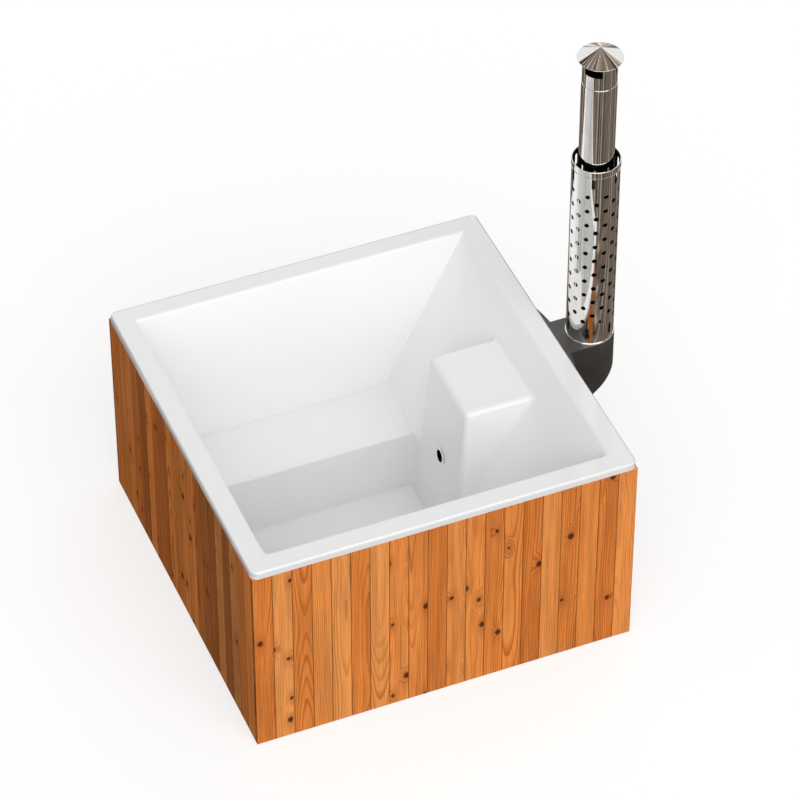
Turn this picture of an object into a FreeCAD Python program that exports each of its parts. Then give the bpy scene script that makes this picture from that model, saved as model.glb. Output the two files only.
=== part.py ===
"""Square wood-burning hot tub: clad timber frame, moulded liner, built-in stove and chimney.

The origin is on the floor under the middle of the tub. +X points to the stove's side, +Y to the back, +Z up.
"""
import FreeCAD, Part
import Sketcher
import math
import os
import re

from FreeCAD import Placement, Rotation, Vector

# Driving sizes in millimetres. A lean is run over rise, a turn is in degrees and a count has no unit
SIZES = {
    # Tub outside and its upright boards
    "tub_x": 1800,
    "tub_y": 1800,
    "clad_top": 1026,
    "clad_gap": 4,
    "board_cover": 90,
    "board_thick": 18,
    "board_gap": 0.6,
    "board_bevel": 1,
    "tongue_long": 6,
    "tongue_thick": 5,
    "groove_play": 0.5,
    # Moulded liner
    "rim_thick": 35,
    "rim_width": 97,
    "rim_corner": 38,
    "rim_round": 12,
    "liner_wall": 8,
    "seat_top": 400,
    "wall_inset": 150,
    "slope_run": 458,
    "well_half": 294,
    "well_draft": 15,
    "basin_round": 25,
    "basin_foot_round": 20,
    "well_round": 30,
    "well_foot_round": 24,
    "face_lean": 0.07,
    "niche_top": 930,
    "niche_half": 214,
    "niche_side_lean": 0.03,
    "niche_round": 28,
    "seam_reach": 45,
    "seam_crumb": 5000,
    # Timber frame
    "bearer_wide": 70,
    "bearer_tall": 50,
    "deck_thick": 18,
    "post_side": 70,
    "rail_wide": 45,
    "rail_tall": 70,
    "mid_rail_low": 490,
    "rib_thick": 18,
    "rib_play": 8,
    # Opening for the stove in the right wall
    "wall_open_half": 235,
    "wall_open_low": 100,
    "wall_open_top": 960,
    "stud_play": 5,
    # Stove body
    "stove_half": 185,
    "stove_foot": 60,
    "foot_side": 40,
    "stove_back_gap": 12,
    "stove_head_gap": 22,
    "jacket_wall": 3,
    "water_gap": 30,
    "firebox_wall": 5,
    "front_set_back": 10,
    "front_plate": 6,
    "plate_margin": 40,
    "ledge_wide": 14,
    "ledge_tall": 8,
    "grate_thick": 16,
    "grate_slots": 9,
    "grate_slot": 12,
    "grate_play": 7,
    "baffle_thick": 6,
    "baffle_lift": 30,
    "baffle_reach": 324,
    # Bowed casing and flue box
    "casing_half": 258,
    "casing_bulge": 39,
    "casing_wall": 3,
    "casing_low": 100,
    "casing_top": 1030,
    "standoff_r": 8,
    "standoff_in": 40,
    "boot_half": 112,
    "boot_front": 175,
    "boot_slant": 42,
    "boot_wall": 3,
    "duct_half": 92,
    "duct_tall": 140,
    "duct_lift": 84,
    "duct_nose": 10,
    "cut_play": 2,
    # Chimney
    "flue_reach": 175,
    "flue_r": 79,
    "flue_wall": 2,
    "flue_long": 1435,
    "spigot_long": 60,
    "spigot_sunk": 15,
    "sheet": 1.5,
    "pipe_play": 0.2,
    "base_ring_r": 111,
    "base_ring_tall": 8,
    "guard_r": 107.5,
    "guard_tall": 997,
    "guard_columns": 16,
    "guard_rows": 10,
    "hole_r": 10.5,
    "hole_sides": 8,
    "hole_pitch": 81,
    "hole_low": 127,
    "hole_turn": 2,
    "slot_turn": 0,
    "slot_wide": 17,
    "slot_tall": 61,
    "slot_end": 30,
    "tab_count": 6,
    "tab_wide": 14,
    "band_tall": 33,
    "band_lip": 6,
    "collar_grip": 60,
    "window_count": 3,
    "window_wide": 85,
    "window_lift": 68,
    "window_turn": 101,
    "cap_lift": 127,
    "cap_r": 101,
    "cap_tall": 54,
    "cap_edge": 3,
    # Fire door
    "door_open_half": 125,
    "door_open_tall": 280,
    "door_sill": 20,
    "frame_wall": 8,
    "frame_proud": 7,
    "door_lap": 22,
    "door_thick": 8,
    "gasket_thick": 2.7,
    "heat_plate": 8,
    "heat_plate_play": 10,
    "hinge_out": 40,
    "hinge_lap": 18,
    "hinge_inset": 25,
    "knuckle_r": 9,
    "knuckle_long": 30,
    "lug_thick": 10,
    "lug_root": 14,
    "lug_edge": 11,
    "pin_r": 4,
    "pin_head": 3,
    "run_play": 0.05,
    "handle_in": 35,
    "shaft_r": 6,
    "grip_r": 9,
    "grip_out": 28,
    "grip_long": 120,
    "tongue_tall": 32,
    "tongue_half": 6,
    "catch_tall": 50,
    "catch_deep": 13,
    "catch_thick": 5.8,
    # Ash drawer and air slide
    "ash_tall": 72,
    "drawer_half": 118,
    "drawer_wall": 2,
    "drawer_front": 6,
    "drawer_lap": 17,
    "drawer_back_gap": 12,
    "slide_play": 0.3,
    "air_slots": 4,
    "air_pitch": 40,
    "air_slot": 10,
    "air_slot_tall": 22,
    "air_low": 10,
    "slide_half": 95,
    "slide_tall": 38,
    "slide_thick": 3,
    "guide_bar": 4,
    "guide_over": 30,
    "knob_r": 14,
    "knob_neck_r": 6,
    "knob_neck": 14,
    # Water ports between liner and jacket
    "hot_port_y": 0,
    "hot_port_z": 505,
    "cold_port_y": -100,
    "cold_port_z": 180,
    "port_r": 35,
    "port_bore": 30,
    "flange_r": 41,
    "flange_thick": 5,
    "port_tail": 22,
    "seal_thick": 2,
    "port_nut_r": 46,
    "port_nut": 8,
    "hose_wall": 4,
    "hose_end": 2,
    "hose_gap": 6,
    "clamp_wide": 9,
    "clamp_wall": 2,
    # Drain
    "pipe_r": 16,
    "pipe_wall": 3,
    "socket_r": 20,
    "drain_flange_r": 38,
    "drain_flange": 4,
    "strainer_r": 30,
    "strainer_hole_r": 5,
    "strainer_holes": 6,
    "drain_nut": 4,
    "drain_nut_r": 28,
    "elbow_arm": 40,
    "valve_out": 48,
    "valve_r": 23,
    "valve_half": 24,
    "valve_socket": 12,
    "spigot_out": 38,
    "ball_r": 17,
    "ball_bore": 12.5,
    "stem_r": 5,
    "neck_r": 9,
    "neck_tall": 7,
    "lever_long": 110,
    "lever_wide": 14,
    "lever_thick": 4,
}

# Places and fits worked out from the driving sizes
FITS = {
    "half_x": "tub_x / 2",
    "half_y": "tub_y / 2",
    "inner_x": "half_x - board_thick",
    "inner_y": "half_y - board_thick",
    "rim_top": "clad_top + rim_thick",
    "rim_under": "rim_top - liner_wall",
    "open_x": "half_x - rim_width",
    "open_y": "half_y - rim_width",
    "deck_top": "bearer_tall + deck_thick",
    "floor_top": "deck_top + liner_wall",
    "seat_x": "open_x - wall_inset",
    "seat_y": "open_y - wall_inset",
    "foot_x": "open_x - slope_run",
    "slope_wall": "liner_wall * sqrt(1 + (slope_run / (rim_top - seat_top)) ^ 2)",
    "well_run": "well_draft / (seat_top - floor_top)",
    "face_floor": "foot_x - face_lean * (seat_top - floor_top)",
    "face_top": "foot_x + face_lean * (niche_top - seat_top)",
    "niche_foot_half": "niche_half + niche_side_lean * (niche_top - seat_top)",
    "rail_low": "rim_under - rail_tall",
    "bearer_step": "(inner_x - bearer_wide / 2) / 2",
    "stud_y": "wall_open_half + stud_play",
    "stove_low": "deck_top + stove_foot",
    "stove_high": "niche_top - liner_wall - stove_head_gap",
    "stove_back": "foot_x + face_lean * (stove_high - seat_top) + liner_wall + stove_back_gap",
    "stove_front": "half_x - front_set_back",
    "plate_back": "stove_front - front_plate",
    "fire_half": "stove_half - jacket_wall - water_gap",
    "fire_in_half": "fire_half - firebox_wall",
    "fire_back": "stove_back + jacket_wall + water_gap",
    "fire_in_back": "fire_back + firebox_wall",
    "fire_low": "stove_low + jacket_wall + water_gap",
    "fire_floor": "fire_low + firebox_wall",
    "fire_high": "stove_high - jacket_wall - water_gap",
    "ash_low": "fire_floor + slide_play",
    "ash_high": "ash_low + ash_tall",
    "grate_low": "ash_high + 2 * ledge_tall",
    "door_low": "grate_low + grate_thick + door_sill",
    "door_high": "door_low + door_open_tall",
    "baffle_low": "door_high + baffle_lift",
    "duct_low": "baffle_low + baffle_thick + duct_lift",
    "casing_r": "(casing_half ^ 2 + casing_bulge ^ 2) / (2 * casing_bulge)",
    "casing_nose": "half_x + casing_bulge",
    "casing_axis": "casing_nose - casing_r",
    "flue_x": "half_x + flue_reach",
    "boot_nose": "flue_x + boot_half",
    "boot_slope": "tan(boot_slant * 1 deg)",
    "boot_lip": "casing_top - boot_front",
    "boot_root": "boot_lip - (boot_nose - half_x) * boot_slope",
    "boot_floor": "boot_wall * sqrt(1 + boot_slope ^ 2)",
    "flue_in": "flue_r - flue_wall",
    "slip_r": "flue_in - pipe_play",
    "flue_top": "casing_top + flue_long",
    "guard_low": "casing_top + base_ring_tall",
    "guard_top": "guard_low + guard_tall",
    "cap_low": "flue_top + cap_lift",
    "frame_front": "casing_nose + frame_proud",
    "frame_half": "door_open_half + frame_wall",
    "door_back": "frame_front + slide_play + gasket_thick",
    "door_face": "door_back + door_thick",
    "hinge_x": "door_back + door_thick / 2",
    "hinge_y": "-(door_open_half + hinge_out)",
    "handle_y": "door_open_half - handle_in",
    "handle_z": "(door_low + door_high) / 2",
    "catch_back": "door_back - heat_plate - slide_play - catch_thick",
    "tongue_front": "catch_back - slide_play",
    "drawer_face": "frame_front",
    "drawer_out": "drawer_face + drawer_front",
    "slide_in": "drawer_out + slide_play",
    "slide_low": "ash_low + air_low - (slide_tall - air_slot_tall) / 2",
    "lean_long": "sqrt(1 + face_lean ^ 2)",
    "hot_port_x": "foot_x + face_lean * (hot_port_z - seat_top)",
    "cold_port_x": "foot_x + face_lean * (cold_port_z - seat_top)",
    "tail_end": "liner_wall + port_tail",
    "drain_x": "-bearer_step / 2",
    "pipe_z": "bearer_tall / 2",
    "pipe_in": "pipe_r - pipe_wall",
    "socket_in": "pipe_r + pipe_play",
    "valve_y": "half_y + valve_out",
    "neck_top": "pipe_z + valve_r + neck_tall",
}

doc = FreeCAD.newDocument("hot_tub")
nodes = {}
sheet_of = {alias: "Size" for alias in SIZES} | {alias: "Fit" for alias in FITS}


def ex(text, home=""):
    """The expression with each size's name given the sheet that holds it."""
    def full(word):
        sheet = sheet_of.get(word.group(), home)
        return word.group() if sheet == home else f"{sheet}.{word.group()}"
    return re.sub(r"[A-Za-z_]\w*", full, str(text))


def fill(name, cells):
    """A sheet with one named cell in each row."""
    sheet = doc.addObject("Spreadsheet::Sheet", name)
    for row, (alias, text) in enumerate(cells.items(), 1):
        sheet.set(f"A{row}", alias)
        sheet.set(f"B{row}", text)
        sheet.setAlias(f"B{row}", alias)
    return sheet


size_sheet = fill("Size", {alias: str(value) for alias, value in SIZES.items()})
fit_sheet = fill("Fit", {alias: "=" + ex(text, "Fit") for alias, text in FITS.items()})
doc.recompute()


def num(alias):
    """A size or fit as a plain number, for shapes that are worked out in code."""
    return float(getattr(size_sheet if alias in SIZES else fit_sheet, alias))


def bind(thing, **expressions):
    """Ties properties to the sheets."""
    for name, text in expressions.items():
        thing.setExpression(name, ex(text))


# Turns from +Z to the direction that a rod or turned piece runs along
TURNS = {
    "x": (Vector(0, 1, 0), "90 deg"),
    "y": (Vector(-1, 0, 0), "90 deg"),
    "port": (Vector(0, 1, 0), "90 deg + atan(face_lean)"),
}


def place(thing, start, axis="z"):
    """Puts a piece at a bound place, turned from +Z to its axis."""
    if axis in TURNS:
        about, angle = TURNS[axis]
        thing.Placement = Placement(Vector(), Rotation(about, 90))
        thing.setExpression("Placement.Rotation.Angle", ex(angle))
    for letter, text in zip("xyz", start):
        thing.setExpression(f"Placement.Base.{letter}", ex(text))
    return thing


def block(name, x, y, z):
    """A box between two bounds on each axis."""
    box = doc.addObject("Part::Box", name)
    for side, (low, high) in zip(("Length", "Width", "Height"), (x, y, z)):
        box.setExpression(side, ex(f"({high}) - ({low})"))
    return place(box, (x[0], y[0], z[0]))


def both(text):
    """Bounds at equal distances on either side of zero."""
    return f"-({text})", text


def rod(name, radius, start, length, axis="z"):
    """A round bar from its first end's centre."""
    bar = doc.addObject("Part::Cylinder", name)
    bind(bar, Radius=radius, Height=length)
    return place(bar, start, axis)


def ball(name, radius, centre):
    """A whole sphere."""
    sphere = doc.addObject("Part::Sphere", name)
    bind(sphere, Radius=radius)
    return place(sphere, centre)


def frustum(name, low, high):
    """A hollow's or box's drafted form: x, x, y, y and z of its lower and its upper rectangle."""
    wedge = doc.addObject("Part::Wedge", name)
    bind(wedge, Xmin=low[0], Xmax=low[1], Zmin=f"-({low[3]})", Zmax=f"-({low[2]})", Ymin=low[4])
    bind(wedge, X2min=high[0], X2max=high[1], Z2min=f"-({high[3]})", Z2max=f"-({high[2]})", Ymax=high[4])
    wedge.Placement = Placement(Vector(), Rotation(Vector(1, 0, 0), 90))
    return wedge


def join(name, *parts):
    """One solid of parts that meet."""
    fused = doc.addObject("Part::MultiFuse", name)
    fused.Shapes = list(parts)
    return fused


def cut(name, base, *tools):
    """The base less its tools."""
    result = doc.addObject("Part::Cut", name)
    result.Base = base
    result.Tool = tools[0] if len(tools) == 1 else join(name + "_tools", *tools)
    return result


def shared(name, *parts):
    """What the parts have in common."""
    common = doc.addObject("Part::MultiCommon", name)
    common.Shapes = list(parts)
    return common


def group(name, parts):
    """Separate solids kept together under one name."""
    compound = doc.addObject("Part::Compound", name)
    compound.Links = list(parts)
    return compound


def tube(name, outer, inner, start, length, axis="z"):
    """A round tube."""
    walls = [rod(name + part, radius, start, length, axis) for part, radius in (("_out", outer), ("_in", inner))]
    return cut(name, *walls)


def rounded(name, base, radius, test):
    """The base with the edges that pass the test rounded."""
    doc.recompute()
    chosen = [(index, radius, radius) for index, edge in enumerate(base.Shape.Edges, 1) if test(edge.BoundBox)]
    fillet = doc.addObject("Part::Fillet", name)
    fillet.Base = base
    fillet.Edges = chosen
    return fillet


def outline(body, role, points):
    """A closed sketch on one of the body's own planes, each corner held by two bound distances."""
    sketch = body.newObject("Sketcher::SketchObject", body.Name + "_outline")
    plane = next(item for item in body.Origin.OriginFeatures if item.Role == role)
    sketch.AttachmentSupport = (plane, "")
    sketch.MapMode = "FlatFace"
    count = len(points)
    turns = [2 * math.pi * i / count for i in range(count)]
    start = [Vector(math.cos(turn), math.sin(turn), 0) for turn in turns]
    for i in range(count):
        sketch.addGeometry(Part.LineSegment(start[i], start[(i + 1) % count]), False)
    for i in range(count):
        sketch.addConstraint(Sketcher.Constraint("Coincident", i, 2, (i + 1) % count, 1))
    for i, (across, up) in enumerate(points):
        for kind, text in (("DistanceX", across), ("DistanceY", up)):
            held = sketch.addConstraint(Sketcher.Constraint(kind, -1, 1, i, 1, 1.0))
            sketch.setExpression(f"Constraints[{held}]", ex(text))
    return sketch


def turned(name, points, start=("0", "0", "0"), axis="z"):
    """A piece of revolution from its radius and height outline."""
    body = doc.addObject("PartDesign::Body", name)
    spin = body.newObject("PartDesign::Revolution", name + "_turn")
    spin.Profile = outline(body, "XZ_Plane", points)
    spin.ReferenceAxis = (spin.Profile[0], ["V_Axis"])
    spin.Angle = 360
    body.Tip = spin
    return place(body, start, axis)


def prism(name, points, width):
    """A side outline in the XZ plane, made as wide to the front as to the back."""
    body = doc.addObject("PartDesign::Body", name)
    pad = body.newObject("PartDesign::Pad", name + "_pad")
    pad.Profile = outline(body, "XZ_Plane", points)
    pad.SideType = "Symmetric"
    bind(pad, Length=width)
    body.Tip = pad
    return body


def worked(name, shape, where=Placement()):
    """A shape made in code from the sheets' numbers."""
    feature = doc.addObject("Part::Feature", name)
    feature.Shape = shape
    feature.Placement = where
    return feature


def node(name, thing):
    """Names a finished sub-part."""
    thing.Label = name
    nodes[name] = thing
    return thing


def signs():
    """The four corners of a square, as signs on X and Y."""
    return [(a, b) for a in ("", "-") for b in ("", "-")]


def span(sign, near, far):
    """Bounds on one side of zero, lower one first."""
    return (f"-({far})", f"-({near})") if sign else (near, far)


# Liner: one moulding with a turned-down rim, a basin, two seats, a footwell and the stove's niche
rim_box = block("rim_box", both("half_x"), both("half_y"), ("clad_top", "rim_top"))
rim_upright = rounded("rim_upright", rim_box, num("rim_corner"), lambda e: e.ZLength > num("rim_thick") / 2)
rim_body = rounded("rim_body", rim_upright, num("rim_round"), lambda e: e.ZMin > num("rim_top") - 1e-3)
hollow_box = block("hollow_box", both("half_x - liner_wall"), both("half_y - liner_wall"),
                   ("clad_top", "rim_under"))
rim_hollow = rounded("rim_hollow", hollow_box, num("rim_corner") - num("liner_wall"), lambda e: e.ZLength > 1)
rim = cut("rim", rim_body, rim_hollow)

basin_out = frustum(
    "basin_out",
    ("-seat_x - liner_wall", "foot_x + slope_wall", *both("seat_y + liner_wall"), "seat_top - liner_wall"),
    ("-open_x - liner_wall", "open_x + slope_wall", *both("open_y + liner_wall"), "rim_under + liner_wall / 2"))
well_out = frustum(
    "well_out",
    ("-seat_x + well_draft - liner_wall", "face_floor - face_lean * liner_wall + liner_wall",
     *both("well_half - well_draft + liner_wall"), "deck_top"),
    ("-seat_x - liner_wall", "foot_x + liner_wall", *both("well_half + liner_wall"), "seat_top"))
shell = join("shell", rim, basin_out, well_out)

basin_box = frustum(
    "basin_box",
    ("-seat_x", "foot_x", *both("seat_y"), "seat_top"),
    ("-open_x", "open_x", *both("open_y"), "rim_top"))
basin_sides = rounded("basin_sides", basin_box, num("basin_round"), lambda e: e.ZLength > 1)
basin = rounded("basin", basin_sides, num("basin_foot_round"), lambda e: e.ZMax < num("seat_top") + 1e-3)
well_box = frustum(
    "well_box",
    ("-seat_x + well_draft", "face_floor", *both("well_half - well_draft"), "floor_top"),
    ("-seat_x - well_run * well_round", "foot_x + face_lean * well_round",
     *both("well_half + well_run * well_round"), "seat_top + well_round"))
well_sides = rounded("well_sides", well_box, num("well_round"), lambda e: e.ZLength > 1)
well = rounded("well", well_sides, num("well_foot_round"), lambda e: e.ZMax < num("floor_top") + 1e-3)


def niche_form(name, shrink, drop, radius):
    """The stove's niche, or its dry inside when shrunk by the wall; the far end stays open to the right."""
    low = f"seat_top - {drop}"
    box = frustum(
        name + "_box",
        (f"foot_x - face_lean * {drop} + {shrink}", "open_x",
         *both(f"niche_foot_half + niche_side_lean * {drop} - {shrink}"), low),
        (f"face_top - face_lean * {shrink} + {shrink}", "open_x",
         *both(f"niche_half + niche_side_lean * {shrink} - {shrink}"), f"niche_top - {shrink}"))
    far, bottom = num("open_x"), num("seat_top") - num("liner_wall")
    return rounded(name, box, radius, lambda e: e.XMin < far - 1 and e.ZMax > bottom)


niche = niche_form("niche", "0", "2 * liner_wall", num("niche_round"))
niche_dry = niche_form("niche_dry", "liner_wall", "2 * liner_wall", num("niche_round") - num("liner_wall"))
cavity = cut("cavity", join("hollow", basin, well), niche)

# Water ports: where each axis meets the leaning face, and how far along it a piece starts
PORTS = {
    "hot": ("hot_port_x", "hot_port_y", "hot_port_z"),
    "cold": ("cold_port_x", "cold_port_y", "cold_port_z"),
}


def along(port, distance):
    """A place on a port's axis, which is square to the leaning face."""
    x, y, z = PORTS[port]
    return f"{x} + ({distance}) / lean_long", y, f"{z} - face_lean * ({distance}) / lean_long"


port_holes = [rod(f"{port}_hole", "port_r + groove_play", along(port, "-liner_wall"), "3 * liner_wall", "port")
              for port in PORTS]
drain_hole = rod("drain_hole", "pipe_r + groove_play", ("drain_x", "0", "0"), "seat_top")
moulding = cut("moulding", shell, cavity, niche_dry, *port_holes, drain_hole)
doc.recompute()


def liner_corners():
    """Each corner where plates of the moulding meet: its place, and the way from the water to the dry side."""
    rim_z, seat_z, floor_z = num("rim_top"), num("seat_top"), num("floor_top")
    foot_x, floor_x, niche_z = num("foot_x"), num("face_floor"), num("niche_top")
    heel_x = foot_x + num("slope_run") * (niche_z - seat_z) / (rim_z - seat_z)
    corners = {
        "sill": ((foot_x, 0, seat_z), (1, 0, 0)),
        "toe": ((floor_x, num("cold_port_y"), floor_z), (1, 0, -1)),
        "drain": ((num("drain_x"), 0, floor_z), (0, 0, -1)),
    }
    for port, place_of in PORTS.items():
        corners[port] = (tuple(num(alias) for alias in place_of), (1, 0, -num("face_lean")))
    for side, y in (("f", -1), ("b", 1)):
        for end, x, rim_x, wall_x, well_x in (
                ("l", -1, -num("open_x"), -num("seat_x"), -num("seat_x") + num("well_draft")),
                ("r", 1, num("open_x"), foot_x, floor_x)):
            dry = (x, y, -1)
            past = (rim_x + 2 * x * num("rim_width"), y * (num("open_y") + 2 * num("rim_width")), rim_z)
            well_y = y * (num("well_half") - num("well_draft"))
            corners["rim_" + end + side] = ((rim_x, y * num("open_y"), rim_z), dry)
            corners["edge_" + end + side] = (past, (0, 0, -1))
            corners["wall_" + end + side] = ((wall_x, y * num("seat_y"), seat_z), dry)
            corners["well_" + end + side] = ((wall_x, y * num("well_half"), seat_z), dry)
            corners["floor_" + end + side] = ((well_x, well_y, floor_z), dry)
        corners["foot_" + side] = ((foot_x, y * num("niche_foot_half"), seat_z), (1, -y, 0))
        corners["nose_" + side] = ((num("face_top"), y * num("niche_half"), niche_z), (1, -y, -1))
        corners["heel_" + side] = ((heel_x, y * num("niche_half"), niche_z), (0.5, -y, -1))
        corners["brow_" + side] = ((num("open_x"), y * num("niche_half"), rim_z), (1, 0, -1))
    return {name: (Vector(*at), Vector(*dry)) for name, (at, dry) in corners.items()}


# Lines from corner to corner along which the plates meet; a star stands for the front and for the back
MEETINGS = """rim_l*-edge_l* rim_r*-edge_r* rim_l*-rim_r* rim_l*-wall_l* rim_r*-wall_r* wall_l*-wall_r*
    wall_l*-well_l* wall_r*-well_r* well_l*-well_r* well_l*-floor_l* well_r*-floor_r* floor_l*-floor_r*
    well_r*-foot_* foot_*-nose_* nose_*-heel_* foot_*-heel_* heel_*-brow_* brow_*-rim_r* foot_*-sill hot-foot_*
    hot-nose_* cold-well_r* cold-floor_r* toe-floor_r* drain-floor_l* drain-floor_r*"""
ACROSS = """rim_lf-rim_lb well_lf-well_lb floor_lf-floor_lb nose_f-nose_b heel_f-heel_b brow_f-brow_b hot-sill
    cold-sill cold-toe"""


def seams():
    """Cuts through the wall on each of those lines, from the water to the dry side."""
    corners = liner_corners()
    lines = [pair.replace("*", side) for side in "fb" for pair in MEETINGS.split()] + ACROSS.split()
    faces = []
    for line in lines:
        (p, d), (q, e) = (corners[name] for name in line.split("-"))
        d, e = d * num("seam_reach"), e * num("seam_reach")
        for ring in ([p - d, q - e, q + e], [p - d, q + e, p + d]):
            faces.append(Part.Face(Part.makePolygon(ring + ring[:1])))
    return faces


# The liner is one moulding. It is kept as plates that meet at its corners, so that each plate is a plain form
plates = []
for piece in sorted(moulding.Shape.generalFuse(seams())[0].Solids, key=lambda solid: -solid.Volume):
    if piece.Volume > num("seam_crumb"):
        plates.append(piece)
        continue
    # A crumb at the niche's foot stays on a plate that it shares a face with
    for index, plate in enumerate(plates):
        if plate.distToShape(piece)[0] < 1e-6 and len(plate.fuse(piece).Solids) == 1:
            plates[index] = plate.fuse(piece).removeSplitter()
            break
assert abs(sum(piece.Volume for piece in plates) / moulding.Shape.Volume - 1) < 1e-3, "the plates don't add up"
node("liner", worked("liner", Part.makeCompound(plates)))


# Cladding: upright tongued and grooved boards with bevelled edges, nailed to the rails
def board(pitch, first, last):
    """One board's plan outline raised to its height; a wall's end boards have one plain edge."""
    wide = pitch - num("board_gap")
    thick, bevel = num("board_thick"), num("board_bevel")
    middle, half = thick / 2, num("tongue_thick") / 2
    tip, reach = half + num("groove_play"), num("tongue_long") + num("groove_play")
    points = [(0, 0), (wide, 0)]
    if not last:
        long = num("tongue_long") + num("board_gap")
        points += [(wide, half - middle), (wide + long, half - middle),
                   (wide + long, -half - middle), (wide, -half - middle)]
    points += [(wide, bevel - thick), (wide - bevel, -thick), (bevel, -thick), (0, bevel - thick)]
    if not first:
        points += [(0, -tip - middle), (reach, -tip - middle), (reach, tip - middle), (0, tip - middle)]
    low = num("clad_gap")
    wire = Part.makePolygon([Vector(x, y, low) for x, y in points + points[:1]])
    return Part.Face(wire).extrude(Vector(0, 0, num("clad_top") - low))


def wall(name, length, base, turn, opening=None):
    """A wall of boards from its left end, seen from outside, less any opening."""
    count = round(length / num("board_cover"))
    pitch = length / count
    solids = []
    for i in range(count):
        one = board(pitch, i == 0, i == count - 1)
        one.translate(Vector(i * pitch, 0, 0))
        solids += (one.cut(opening) if opening else one).Solids
    node(name, worked(name, Part.makeCompound(solids), Placement(base, Rotation(Vector(0, 0, 1), turn))))


stove_gap = Part.makeBox(
    2 * num("wall_open_half"), 3 * num("board_thick"), num("wall_open_top") - num("wall_open_low"),
    Vector(num("inner_y") - num("wall_open_half"), -2 * num("board_thick"), num("wall_open_low")))
pipe_gap = Part.makeCylinder(
    num("socket_r"), 3 * num("board_thick"),
    Vector(num("half_x") - num("drain_x"), -2 * num("board_thick"), num("pipe_z")), Vector(0, 1, 0))
half_x, half_y, inner_x, inner_y = num("half_x"), num("half_y"), num("inner_x"), num("inner_y")
wall("front_cladding", 2 * half_x, Vector(-half_x, -inner_y, 0), 0)
wall("right_cladding", 2 * inner_y, Vector(inner_x, -inner_y, 0), 90, stove_gap)
wall("back_cladding", 2 * half_x, Vector(half_x, inner_y, 0), 180, pipe_gap)
wall("left_cladding", 2 * inner_y, Vector(-inner_x, inner_y, 0), -90)

# Timber frame: bearers, deck, posts, rails and the ribs under the seats
bearers = []
for step in range(-2, 3):
    low = f"{step} * bearer_step - bearer_wide / 2"
    spread = (low, f"{low} + bearer_wide")
    bearers.append(block(f"bearer_{len(bearers)}", spread, both("inner_y"), ("0", "bearer_tall")))
node("base_bearers", group("base_bearers", bearers))
deck = block("deck", both("inner_x"), both("inner_y"), ("bearer_tall", "deck_top"))
deck_hole = rod("deck_hole", "pipe_r + groove_play", ("drain_x", "0", "0"), "deck_top")
node("floor_deck", cut("floor_deck", deck, deck_hole))
posts = [block(f"post_{i}", span(a, "inner_x - post_side", "inner_x"), span(b, "inner_y - post_side", "inner_y"),
               ("deck_top", "rail_low")) for i, (a, b) in enumerate(signs())]
node("corner_posts", group("corner_posts", posts))
studs = [block(f"stud_{i}", ("inner_x - rail_wide", "inner_x"), span(b, "stud_y", "stud_y + rail_wide"),
               ("deck_top", "rail_low")) for i, b in enumerate(("", "-"))]
node("stove_studs", group("stove_studs", studs))


def rails(name, low, end_x, end_y, gap):
    """Rails behind the four walls; a gap leaves the stove's opening free in the right one."""
    level = (low, f"{low} + rail_tall")
    sides = [block(f"{name}_{i}", both(end_x), span(b, "inner_y - rail_wide", "inner_y"), level)
             for i, b in enumerate(("", "-"))]
    sides.append(block(f"{name}_left", span("-", "inner_x - rail_wide", "inner_x"), both(end_y), level))
    right = ("inner_x - rail_wide", "inner_x")
    runs = [span(b, gap, end_y) for b in ("", "-")] if gap else [both(end_y)]
    sides += [block(f"{name}_right_{i}", right, run, level) for i, run in enumerate(runs)]
    node(name, group(name, sides))


rails("top_rails", "rail_low", "inner_x", "inner_y - rail_wide", "")
rails("mid_rails", "mid_rail_low", "inner_x - post_side", "inner_y - post_side", "stud_y + rail_wide")
rails("bottom_rails", "deck_top", "inner_x - post_side", "inner_y - post_side", "stud_y + rail_wide")
ribs = []
for share in (0.1, 0.5, 0.9):
    middle = f"-seat_x + {share} * (seat_x + foot_x)"
    for sign in ("", "-"):
        ribs.append(block(f"rib_{len(ribs)}", (f"{middle} - rib_thick / 2", f"{middle} + rib_thick / 2"),
                          span(sign, "well_half + liner_wall + rib_play", "seat_y - rib_play"),
                          ("deck_top", "seat_top - liner_wall")))
node("seat_ribs", group("seat_ribs", ribs))

# Stove body: a water jacket round a firebox, both welded to one front plate, on four feet
feet = []
for sign in ("", "-"):
    for x in (("stove_back", "stove_back + foot_side"),
              ("inner_x - stud_play - foot_side", "inner_x - stud_play")):
        feet.append(block(f"foot_{len(feet)}", x, span(sign, "stove_half - foot_side", "stove_half"),
                          ("deck_top", "stove_low")))
node("stove_feet", group("stove_feet", feet))
jacket_out = block("jacket_out", ("stove_back", "plate_back"), both("stove_half"), ("stove_low", "stove_high"))
jacket_in = block("jacket_in", ("stove_back + jacket_wall", "plate_back"), both("stove_half - jacket_wall"),
                  ("stove_low + jacket_wall", "stove_high - jacket_wall"))
nipples, nipple_bores = [], []
for port, (x, y, z) in PORTS.items():
    first = "tail_end + hose_gap"
    long = f"(stove_back + jacket_wall - {x}) * lean_long - tail_end - hose_gap"
    nipples.append(rod(f"{port}_nipple", "port_r", along(port, first), long, "port"))
    bore_long = f"{long} + water_gap / 2"
    nipple_bores.append(rod(f"{port}_nipple_bore", "port_bore", along(port, first), bore_long, "port"))
jacket_body = join("jacket_body", cut("jacket_shell", jacket_out, jacket_in), *nipples)
node("stove_jacket", cut("stove_jacket", jacket_body, *nipple_bores))
fire_out = block("fire_out", ("fire_back", "plate_back"), both("fire_half"), ("fire_low", "fire_high"))
fire_in = block("fire_in", ("fire_in_back", "plate_back"), both("fire_in_half"),
                ("fire_floor", "fire_high - firebox_wall"))
node("firebox", cut("firebox", fire_out, fire_in))
plate = block("plate", ("plate_back", "stove_front"), both("stove_half + plate_margin"),
              ("stove_low", "stove_high + plate_margin"))
through = ("plate_back", "stove_front")
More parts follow.
